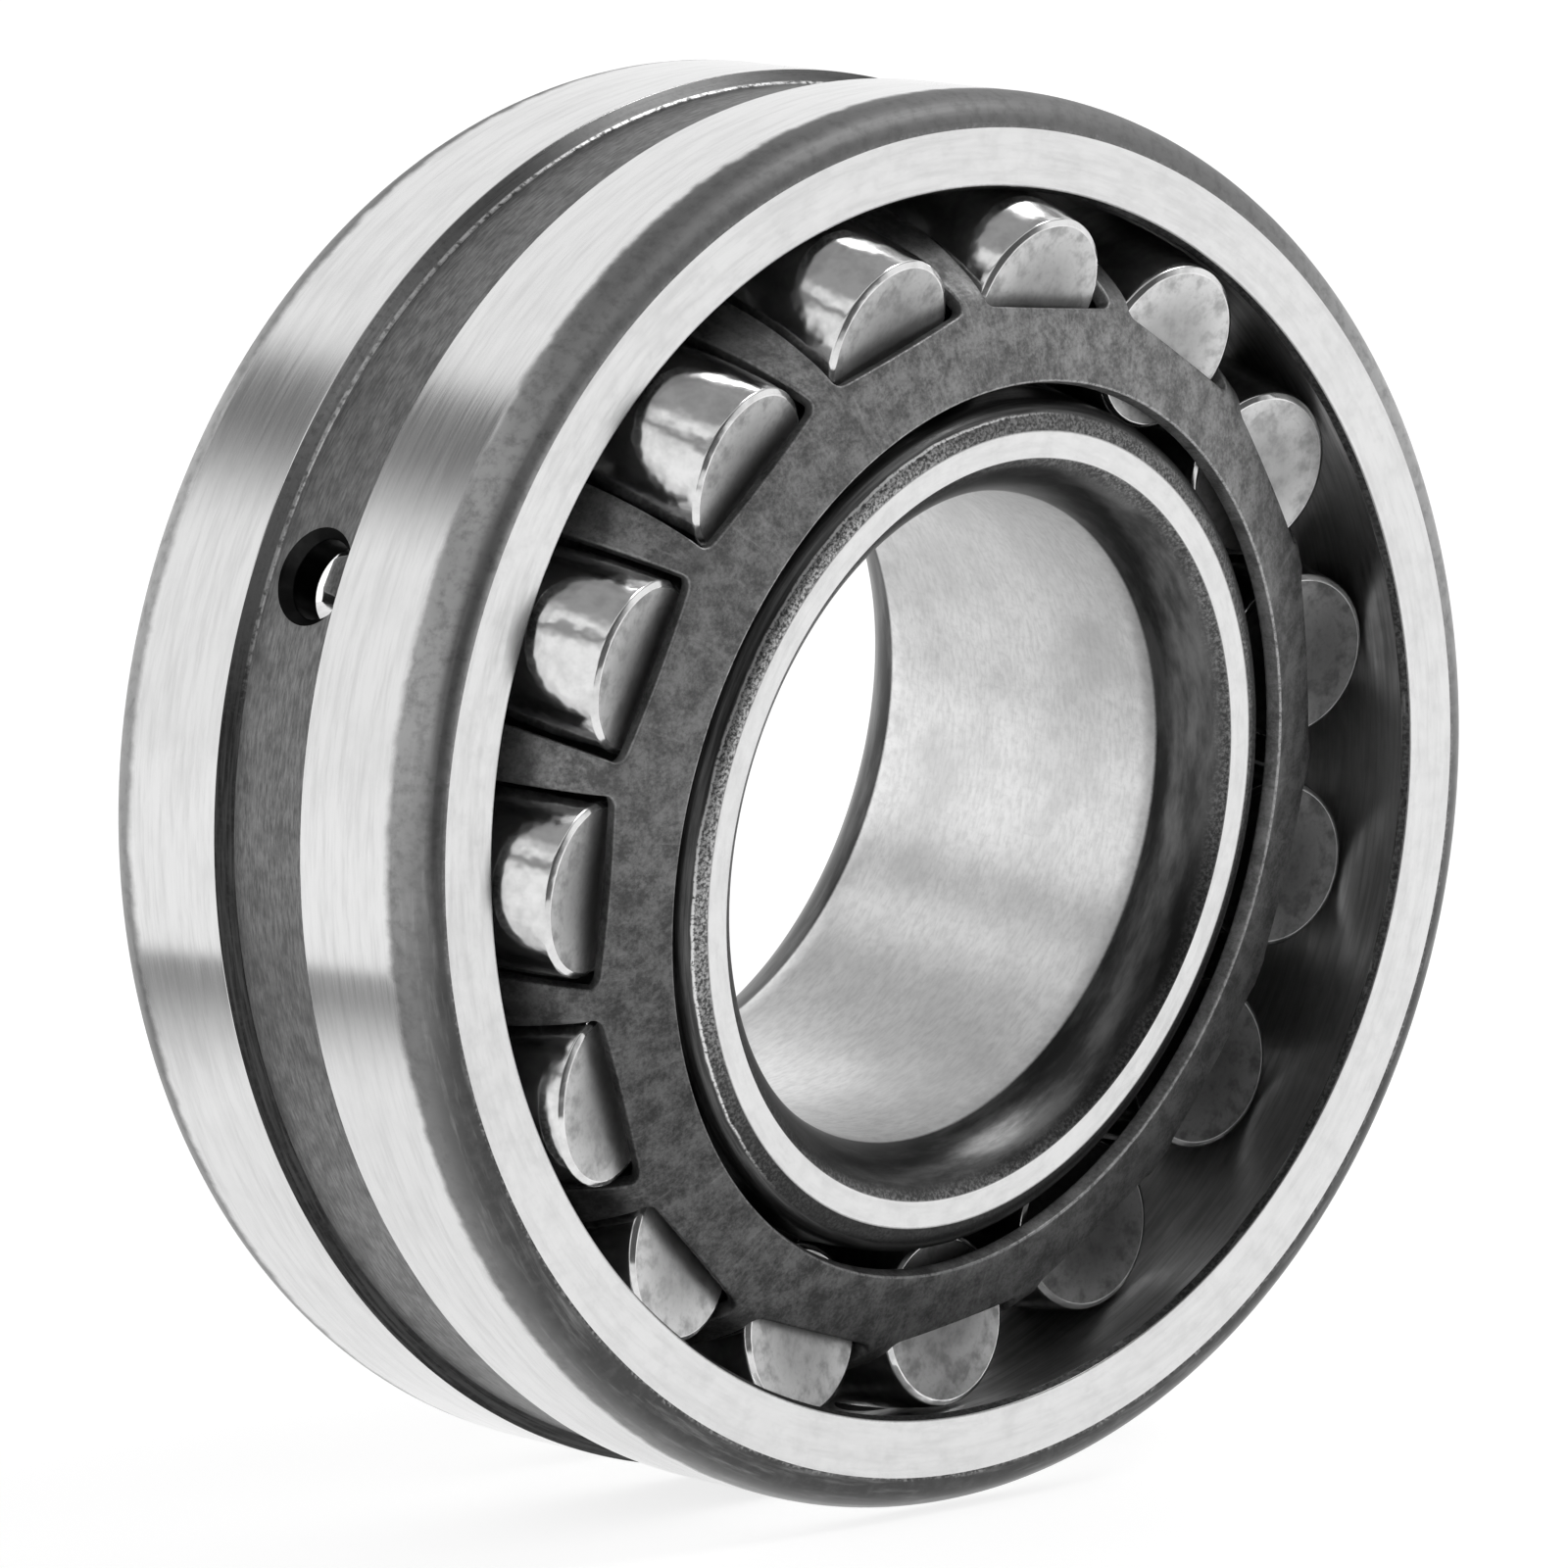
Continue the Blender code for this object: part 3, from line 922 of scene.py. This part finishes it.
def ground_tone(paint, light, dark, cloud_share):
    """Ground steel's colour: streaks round the ring and soft clouds."""
    streaks = paint.lines(7.0, 900.0, detail=5.0, rough=0.65)
    tone = paint.mix(paint.band(streaks, 0.38, 0.75), light, dark)
    return paint.mix(paint.band(paint.clouds(130.0), 0.45, 0.8, 0.0, cloud_share), tone, dark), streaks


def corner_share(paint, patches):
    """From 0 where the outer corner leaves the land to 1 where it meets the face, ragged by patches."""
    along, across = 2 * OUTER_CORNER_AXIAL, 2 * OUTER_CORNER_RADIAL
    lift = paint.maths("MULTIPLY_ADD", paint.height(), 1 / along, -CORNER_START / along)
    sink = paint.maths("MULTIPLY_ADD", paint.radius(), -1 / across, OUTER_RADIUS / across)
    return paint.shaken(paint.maths("ADD", lift, sink), patches, 0.17)


def corner_tone(paint, share, streaks, patches, mottle, grain):
    """The turned corner in painted shade and painted reflection: grey over the top and light at the sides,
    dark below, with a rubbed edge.
    """
    # Painted shade: the tone over the top of the ring
    upper = paint.mix(paint.band(paint.upward(), 0.45, 0.90), 0.43, 0.22)
    # Painted reflection: the corner darkens towards the face, as if mirroring the dark front
    lower = paint.mix(paint.band(share, -0.1, 0.75), 0.24, 0.07)
    lower = paint.mix(paint.band(streaks, 0.48, 0.74, 0.0, 0.6), lower, 0.28)
    # Painted shade: the lower part of the ring takes the dark tone, the upper part the lighter one
    tone = paint.mix(paint.band(paint.shaken(paint.upward(), patches, 0.3), -0.45, 0.70), lower, upper)
    tone = paint.mix(paint.band(mottle, 0.42, 0.72, 0.0, 0.5), tone, 0.12)
    rubbed = paint.times(paint.band(grain, 0.45, 0.65), paint.band(share, 0.93, 0.99))
    return paint.mix(paint.times(rubbed, 0.6), tone, 0.36)


def outer_land():
    """The ground outside, which runs through a soft edge into the turned corner, dark with painted shade and
    painted reflection.
    """
    paint = Paint("outer_land")
    tone, streaks = ground_tone(paint, 0.76, 0.64, 0.5)
    lines = paint.lines(2.2, 5200.0)
    grain = paint.clouds(2600.0, detail=3.0)
    patches = paint.lines(26.0, 240.0, detail=4.0)
    mottle = paint.clouds(700.0, detail=5.0, rough=0.65)
    share = corner_share(paint, patches)
    corner = paint.band(share, -0.06, 0.09)
    # The turned corner's tone, in painted shade and painted reflection
    dark = corner_tone(paint, share, streaks, patches, mottle, grain)
    ground_rough = paint.band(lines, 0.3, 0.7, 0.09, 0.16)
    matt = paint.band(paint.upward(), 0.45, 0.90, 0.22, 0.40)
    roughness = paint.maths("MULTIPLY_ADD", corner, matt, ground_rough)
    relief = paint.maths("ADD", lines, streaks)
    relief = paint.maths("MULTIPLY_ADD", grain, paint.times(corner, 0.5), relief)
    paint.bump(relief, 0.14, GROUND_RELIEF)
    return paint.finish(paint.mix(corner, tone, dark), roughness)


def ground_face(name, edge, line_width):
    """A ground face, with a thin dark line from its rounded edge, inwards where the width is negative."""
    paint = Paint(name)
    tone, streaks = ground_tone(paint, 0.74, 0.66, 0.5)
    mottle = paint.clouds(420.0, detail=5.0, rough=0.65)
    tone = paint.mix(paint.band(mottle, 0.42, 0.75, 0.0, 0.4), tone, 0.56)
    grain = paint.clouds(3000.0, detail=2.0)
    radius = paint.shaken(paint.radius(), grain, 0.00012)
    tone = paint.mix(paint.band(radius, edge, edge + line_width, 0.8, 0.0), tone, 0.12)
    paint.bump(paint.maths("ADD", streaks, mottle), 0.15, GROUND_RELIEF)
    return paint.finish(tone, paint.band(streaks, 0.3, 0.7, 0.16, 0.24))


def outer_chamfer():
    """The narrow turned edge between the outer face and the raceway: dark, with a rubbed line."""
    paint = Paint("outer_chamfer")
    grain = paint.clouds(2400.0)
    rubs = paint.lines(9.0, 1500.0, detail=4.0)
    tone = paint.mix(paint.band(grain, 0.4, 0.65), 0.03, 0.09)
    tone = paint.mix(paint.band(rubs, 0.52, 0.70, 0.0, 0.5), tone, 0.26)
    tone = paint.mix(paint.times(paint.attribute(WEAR), paint.band(rubs, 0.42, 0.6)), tone, 0.4)
    paint.bump(grain, 0.3, TURNED_RELIEF)
    return paint.finish(tone, paint.band(grain, 0.3, 0.7, 0.42, 0.30))


def groove_floor():
    """The lubrication groove's turned floor: dark, with fine broken lines round the ring."""
    paint = Paint("groove_floor")
    lines = paint.lines(40.0, 3600.0, detail=4.0, rough=0.7)
    long_lines = paint.lines(6.0, 2200.0)
    clouds = paint.clouds(300.0)
    tone = paint.mix(paint.band(lines, 0.34, 0.68), 0.130, 0.245)
    tone = paint.mix(paint.band(long_lines, 0.4, 0.75, 0.0, 0.35), tone, 0.30)
    tone = paint.mix(paint.band(clouds, 0.4, 0.7, 0.0, 0.5), tone, 0.085)
    paint.bump(paint.maths("ADD", lines, long_lines), 0.3, TURNED_RELIEF)
    return paint.finish(tone, paint.band(lines, 0.3, 0.7, 0.5, 0.4))


def groove_wall():
    """The groove's slanted sides in painted shade, dark below and greyer over the top, where the foot has a
    painted highlight line.
    """
    paint = Paint("groove_wall")
    lines = paint.lines(9.0, 3000.0)
    grain = paint.clouds(1500.0)
    # Painted shade: the wall is dark below and greyer over the top
    upper = paint.band(paint.shaken(paint.upward(), grain, 0.15), 0.15, 0.55)
    grey = paint.mix(paint.band(paint.upward(), 0.7, 0.9), 0.24, 0.08)
    tone = paint.mix(upper, 0.022, grey)
    tone = paint.mix(paint.band(lines, 0.35, 0.7, 0.0, 0.4), tone, 0.12)
    tone = paint.mix(paint.band(grain, 0.45, 0.7, 0.0, 0.4), tone, 0.06)
    rubbed = paint.times(paint.attribute(WEAR), paint.band(grain, 0.42, 0.6))
    tone = paint.mix(rubbed, tone, 0.5)
    # Painted highlight: a bright line along the foot, over the top only
    foot = paint.shaken(paint.radius(), grain, 0.00015)
    foot = paint.band(foot, GROOVE_FLOOR_RADIUS + 0.00022, GROOVE_FLOOR_RADIUS + 0.00034, 1.0, 0.0)
    foot = paint.times(foot, paint.band(grain, 0.36, 0.58))
    tone = paint.mix(paint.times(foot, upper), tone, 0.52)
    paint.bump(lines, 0.3, TURNED_RELIEF)
    return paint.finish(tone, paint.band(lines, 0.3, 0.7, 0.26, 0.36))


def inner_corner():
    """The inner ring's rounded outer edge: granular by the face, then a bright line, then dark, with painted
    light on one side and painted shade towards its foot.
    """
    paint = Paint("inner_corner")
    grains = paint.clouds(2600.0, detail=5.0, rough=0.7)
    clouds = paint.clouds(230.0, detail=3.0)
    lines = paint.lines(5.0, 2600.0)
    radius = paint.shaken(paint.shaken(paint.radius(), clouds, 0.0004), grains, 0.0002)
    border = INNER_FACE_OUTER_RADIUS + INNER_CORNER_GRAIN_WIDTH
    near_face = paint.band(radius, border, border + 0.0003, 1.0, 0.0)
    granular = paint.mix(paint.band(grains, 0.40, 0.64), 0.05, 0.22)
    granular = paint.mix(paint.band(clouds, 0.42, 0.66, 0.0, 0.5), granular, 0.08)
    # Painted light: a brighter granular tone, used towards the lit side
    bright = paint.mix(paint.band(grains, 0.40, 0.62), 0.07, 0.50)
    granular = paint.mix(paint.side(LIT_SIDE, 0.45, 0.95), granular, bright)
    # Painted shade: the granular band darkens towards the ring's foot
    granular = paint.mix(paint.band(paint.upward(), 0.1, -0.8, 0.0, 0.85), granular, 0.02)
    smooth = paint.mix(paint.band(lines, 0.35, 0.7), 0.05, 0.11)
    tone = paint.mix(near_face, smooth, granular)
    line = paint.times(paint.band(radius, border - 0.0001, border + 0.0001), near_face)
    line = paint.times(line, paint.band(grains, 0.34, 0.56, 0.0, 3.0))
    # Painted highlight: the bright line shows on the lit side only
    tone = paint.mix(paint.times(line, paint.side(LIT_SIDE, 0.2, 0.8)), tone, 0.72)
    rubbed = paint.times(paint.attribute(WEAR), paint.band(grains, 0.4, 0.6))
    tone = paint.mix(rubbed, tone, 0.45)
    paint.bump(paint.times(grains, near_face), 0.4, GRAIN_RELIEF)
    return paint.finish(tone, paint.band(grains, 0.35, 0.65, 0.40, 0.30))


def bore_steel():
    """The bore, satin with crossed brush lines, with painted light in its lower half, and its dark
    bell-shaped ends.
    """
    paint = Paint("bore")
    slant = paint.noise(paint.scaled(AXIAL, (500.0, 1900.0, 1100.0)), detail=3.0, rough=0.55)
    lines = paint.lines(22.0, 900.0, detail=4.0)
    clouds = paint.clouds(70.0, detail=3.0)
    tone = paint.mix(paint.band(lines, 0.35, 0.75), 0.64, 0.52)
    tone = paint.mix(paint.band(slant, 0.45, 0.8, 0.0, 0.4), tone, 0.42)
    tone = paint.mix(paint.band(clouds, 0.4, 0.75, 0.0, 0.55), tone, 0.38)
    # Painted light: the lower half of the bore is brightened
    lower = paint.band(paint.shaken(paint.upward(), clouds, 0.5), 0.35, -0.45, 1.0, 1.42)
    tone = paint.times(tone, lower)

    grain = paint.clouds(2600.0, detail=4.0, rough=0.7)
    drifts = paint.lines(3.5, 420.0, detail=5.0)
    height = paint.shaken(paint.height(), grain, 0.0002)
    corner = paint.band(height, BORE_DARK_START - 0.0002, BORE_DARK_START + 0.0003)
    dark = paint.mix(paint.band(drifts, 0.38, 0.70), 0.045, 0.130)
    rim = paint.band(paint.shaken(paint.radius(), drifts, 0.0024), BORE_SPECKLE_START, BORE_SPECKLE_END)
    speckled = paint.mix(paint.band(grain, 0.40, 0.66), 0.05, 0.24)
    dark = paint.mix(paint.times(rim, 0.8), dark, speckled)
    edge = paint.shaken(paint.radius(), grain, 0.0002)
    edge = paint.band(edge, BORE_SPECKLE_END - 0.0001, BORE_SPECKLE_END + 0.00005)
    dark = paint.mix(paint.times(edge, 0.7), dark, 0.35)
    roughness = paint.band(corner, 0.0, 1.0, 0.34, 0.30)
    relief = paint.maths("ADD", lines, paint.times(grain, corner))
    paint.bump(relief, 0.2, TURNED_RELIEF)
    return paint.finish(paint.mix(corner, tone, dark), roughness)


def polished_steel(name, light, dark, rough, ripple=0.0):
    """Honed steel with soft clouds, almost invisible lines round the axis and a ripple, by its height."""
    paint = Paint(name)
    lines = paint.lines(3.0, 4200.0)
    clouds = paint.clouds(300.0)
    waves = paint.clouds(120.0, detail=3.0, rough=0.45)
    tone = paint.mix(paint.band(clouds, 0.35, 0.7), light, dark)
    relief = paint.maths("MULTIPLY_ADD", waves, ripple, paint.times(lines, LINE_RELIEF))
    paint.bump(relief, 1.0, 1.0)
    return paint.finish(tone, paint.band(clouds, 0.3, 0.75, rough - 0.02, rough + 0.05))


def raceway_steel():
    """The raceways: ground satin, with brushed streaks round the ring and darker drifts."""
    paint = Paint("raceway")
    streaks = paint.lines(5.0, 800.0, detail=5.0, rough=0.65)
    clouds = paint.clouds(160.0)
    tone = paint.mix(paint.band(streaks, 0.36, 0.70), 0.58, 0.36)
    tone = paint.mix(paint.band(clouds, 0.42, 0.75, 0.0, 0.5), tone, 0.26)
    paint.bump(streaks, 0.25, TURNED_RELIEF)
    return paint.finish(tone, paint.band(streaks, 0.3, 0.7, 0.30, 0.42))


def roller_end():
    """A roller's end: satin and mottled, lighter towards its rim, and darker by the painted shade set on each
    roller.
    """
    paint = Paint("roller_end")
    rings = paint.lines(0.6, 5200.0)
    clouds = paint.clouds(420.0, detail=5.0)
    fine = paint.clouds(1500.0, detail=3.0)
    place = paint.shaken(paint.radius(), clouds, 0.0060)
    bright = paint.mix(paint.band(place, 0.0025, 0.0085), 0.42, 0.70)
    dull = paint.mix(paint.band(place, 0.0025, 0.0085), 0.13, 0.24)
    # Painted shade: the end turns from the bright tones to the dull ones with the roller's painted shade
    tone = paint.mix(paint.attribute(END_SHADE), bright, dull)
    shade = paint.mix(paint.attribute(END_SHADE), 0.30, 0.065)
    tone = paint.mix(paint.band(clouds, 0.42, 0.70, 0.0, 0.7), tone, shade)
    tone = paint.mix(paint.band(fine, 0.5, 0.75, 0.0, 0.35), tone, shade)
    paint.bump(paint.maths("ADD", rings, clouds), 0.25, GRAIN_RELIEF)
    return paint.finish(tone, paint.band(clouds, 0.3, 0.7, 0.34, 0.46))


def cage_steel():
    """Pressed sheet with a dark coat: granular, with drifts and rubs, darker on one side with painted shade,
    and bright where its rim is worn.
    """
    paint = Paint("cage", metallic=0.85)
    clouds = paint.clouds(330.0, detail=6.0, rough=0.7)
    grains = paint.clouds(2100.0, detail=5.0, rough=0.75)
    rubs = paint.lines(55.0, 150.0, detail=5.0, rough=0.65)
    blend = paint.shaken(clouds, grains, 0.55)
    tone = paint.mix(paint.band(blend, 0.32, 0.70), 0.125, 0.310)
    tone = paint.mix(paint.band(rubs, 0.54, 0.76, 0.0, 0.5), tone, 0.42)
    # Painted shade: a darker copy of the coat, used towards the cage's shaded side
    shaded_tone = paint.mix(paint.band(blend, 0.32, 0.70), 0.045, 0.135)
    shaded_tone = paint.mix(paint.band(rubs, 0.54, 0.76, 0.0, 0.5), shaded_tone, 0.22)
    tone = paint.mix(paint.side(SHADED_SIDE, 0.35, 0.95), tone, shaded_tone)
    worn = paint.times(paint.attribute(WEAR), paint.band(grains, 0.36, 0.6, 0.1, 1.0))
    # Painted shade: the worn rim is dimmer on the shaded side
    tone = paint.mix(worn, tone, paint.mix(paint.side(SHADED_SIDE, 0.2, 0.8), 0.46, 0.20))
    paint.bump(blend, 0.4, COAT_RELIEF)
    return paint.finish(tone, paint.band(grains, 0.3, 0.7, 0.58, 0.40))


def guide_steel():
    """The guide ring: plain turned steel, left dark."""
    paint = Paint("guide")
    lines = paint.lines(8.0, 2600.0)
    clouds = paint.clouds(300.0)
    tone = paint.mix(paint.band(lines, 0.35, 0.7), 0.08, 0.17)
    tone = paint.mix(paint.band(clouds, 0.4, 0.7, 0.0, 0.5), tone, 0.06)
    tone = paint.mix(paint.attribute(WEAR), tone, 0.3)
    paint.bump(lines, 0.3, TURNED_RELIEF)
    return paint.finish(tone, paint.band(clouds, 0.3, 0.7, 0.48, 0.36))


def floor_material():
    """A matt, pale board, lit from within like a light table.

    In reflections only, it has painted shade below the front opening and a painted shadow at the back left.
    """
    paint = Paint("floor", metallic=0.0)
    place = paint.node("TexCoord", {}).outputs["Object"]
    clouds = paint.noise(place, scale=3.0, detail=2.0)
    away = paint.vector("LENGTH", place)
    ahead = paint.vector("NORMALIZE", place)
    facing = paint.band(paint.dot(ahead, OPENING_DIRECTION), *SHADE_EDGE)
    shade = paint.times(facing, paint.band(away, *SHADE_START))
    # Painted shadow at the back left, standing in for the bearing's own shadow, seen only in reflections
    facing = paint.band(paint.dot(ahead, BACK_SHADOW_DIRECTION), *BACK_SHADOW_EDGE)
    near, far = paint.band(away, *BACK_SHADOW_NEAR), paint.band(away, *BACK_SHADOW_FAR, BACK_SHADOW_SHARE, 0.0)
    back_shadow = paint.times(facing, paint.times(near, far))
    shade = paint.maths("MAXIMUM", shade, back_shadow)
    shade = paint.times(shade, paint.maths("SUBTRACT", 1.0, paint.seen_directly()))
    paint.plug(paint.shader.inputs["Emission Color"], paint.mix(shade, 1.0, SHADE_LIGHT))
    paint.shader.inputs["Emission Strength"].default_value = FLOOR_GLOW
    return paint.finish(paint.mix(shade, paint.mix(clouds, 0.36, 0.33), SHADE_LIGHT), 0.9)


def make_materials():
    return {
        "outer_land": outer_land(),
        "outer_face": ground_face("outer_face", OUTER_FACE_INNER_RADIUS, EDGE_LINE),
        "outer_chamfer": outer_chamfer(),
        "groove_floor": groove_floor(),
        "groove_wall": groove_wall(),
        # Painted shade: the hole's inside is near black
        "hole": polished_steel("hole", 0.020, 0.010, 0.36),
        "raceway": raceway_steel(),
        "inner_face": ground_face("inner_face", INNER_FACE_OUTER_RADIUS, -EDGE_LINE),
        "inner_corner": inner_corner(),
        "bore": bore_steel(),
        "roller_side": polished_steel("roller_side", 0.78, 0.60, 0.16, ripple=0.00060),
        "roller_end": roller_end(),
        "cage": cage_steel(),
        "guide": guide_steel(),
    }


# --- Studio ---


def add_floor():
    bpy.ops.mesh.primitive_grid_add(x_subdivisions=8, y_subdivisions=8, size=FLOOR_SIZE)
    floor = bpy.context.object
    floor.name = "studio_floor"
    floor.location = (0.0, 0.0, CAD_LOW.z - FLOOR_GAP)
    floor.data.materials.append(floor_material())


def add_key_light():
    """A square area light that faces the bearing."""
    light = bpy.data.lights.new("key", "AREA")
    light.size = KEY_SIZE
    light.energy = KEY_POWER
    turn = (-Vector(KEY_PLACE)).to_track_quat("-Z", "Y").to_matrix().to_4x4()
    new_object("key", light, Matrix.Translation(KEY_PLACE) @ turn)


def add_world():
    """A white tent, grey overhead, with a dark front opening and a soft dark belt that is open behind."""
    world = bpy.data.worlds.new("studio")
    world.use_nodes = True
    bpy.context.scene.world = world
    sky = Nodes(world.node_tree)
    place = sky.node("TexCoord", {}).outputs["Generated"]
    height = sky.dot(place, (0.0, 0.0, 1.0))
    level = sky.vector("NORMALIZE", sky.vector("MULTIPLY", place, (1.0, 1.0, 0.0)))
    opening = sky.band(sky.dot(level, OPENING_DIRECTION), *OPENING_EDGE)
    opening = sky.times(opening, sky.band(height, *OPENING_TOP, 1.0, 0.0))
    belt = sky.times(sky.band(height, *BELT_FADE), sky.band(height, *BELT_TOP, 1.0, 0.0))
    gap = sky.band(sky.dot(level, BELT_GAP_DIRECTION), *BELT_GAP_EDGE, 1.0, 0.0)
    belt = sky.times(belt, gap)
    tone = sky.mix(sky.band(height, *CEILING), TENT_LIGHT, CEILING_LIGHT)
    tone = sky.mix(belt, tone, BELT_LIGHT)
    tone = sky.mix(opening, tone, OPENING_LIGHT)
    tone = sky.mix(sky.seen_directly(), tone, TENT_LIGHT)
    sky.plug(sky.tree.nodes["Background"].inputs["Color"], tone)


def add_camera():
    data = bpy.data.cameras.new("camera")
    data.lens = CAMERA_LENS
    data.sensor_width = 36.0
    data.clip_start, data.clip_end = 0.05, 60.0
    right, up = Vector(CAMERA_RIGHT), Vector(CAMERA_UP)
    axes = Matrix((right, up, right.cross(up))).transposed().to_4x4()
    bpy.context.scene.camera = new_object("camera", data, Matrix.Translation(CAMERA_PLACE) @ axes)


# --- Assembly ---


def frame_on_axis(front, towards):
    """The axial frame whose Z is the front direction and whose X points towards a place off the axis."""
    z = front.normalized()
    x = (towards - z * towards.dot(z)).normalized()
    return Matrix((x, z.cross(x), z)).transposed().to_4x4()


JOINTS = {joint["name"]: joint for joint in frame["joints"]}
INNER_FRONT = -Vector(JOINTS["inner_spin"]["axis"])
FRONT_ROW_FRAME = frame_on_axis(INNER_FRONT, Vector(JOINTS["roller_front_01_spin"]["pos_m"]))
REAR_ROW_FRAME = frame_on_axis(-INNER_FRONT, Vector(JOINTS["roller_rear_01_spin"]["pos_m"]))
OUTER_FRAME = frame_on_axis(Vector((0.0, -1.0, 0.0)), Vector((1.0, 0.0, 0.0)))
MATERIALS = make_materials()

add_camera()
add_world()
add_floor()
add_key_light()

add_outer_ring()
inner_ring = finished_mesh(inner_ring_section(), RING_STEPS, INNER_ZONES)
add_piece("inner_ring_ground", inner_ring, FRONT_ROW_FRAME, "inner_ring")
guide_ring = finished_mesh(guide_ring_section(), RING_STEPS // 2, ("guide",))
add_piece("guide_ring_turned", guide_ring, FRONT_ROW_FRAME, "guide_ring")
roller = finished_mesh(roller_section(), ROLLER_STEPS, ROLLER_ZONES, closed=False)
add_rollers("front", roller, INNER_FRONT, FRONT_END_SHADES)
add_rollers("rear", roller, -INNER_FRONT, [REAR_END_SHADE] * ROLLERS_PER_ROW)
cage = cage_mesh()
add_piece("cage_front_pressed", cage, FRONT_ROW_FRAME, "cage_front")
add_piece("cage_rear_pressed", cage, REAR_ROW_FRAME, "cage_rear")

bpy.context.scene.view_settings.view_transform = "Standard"
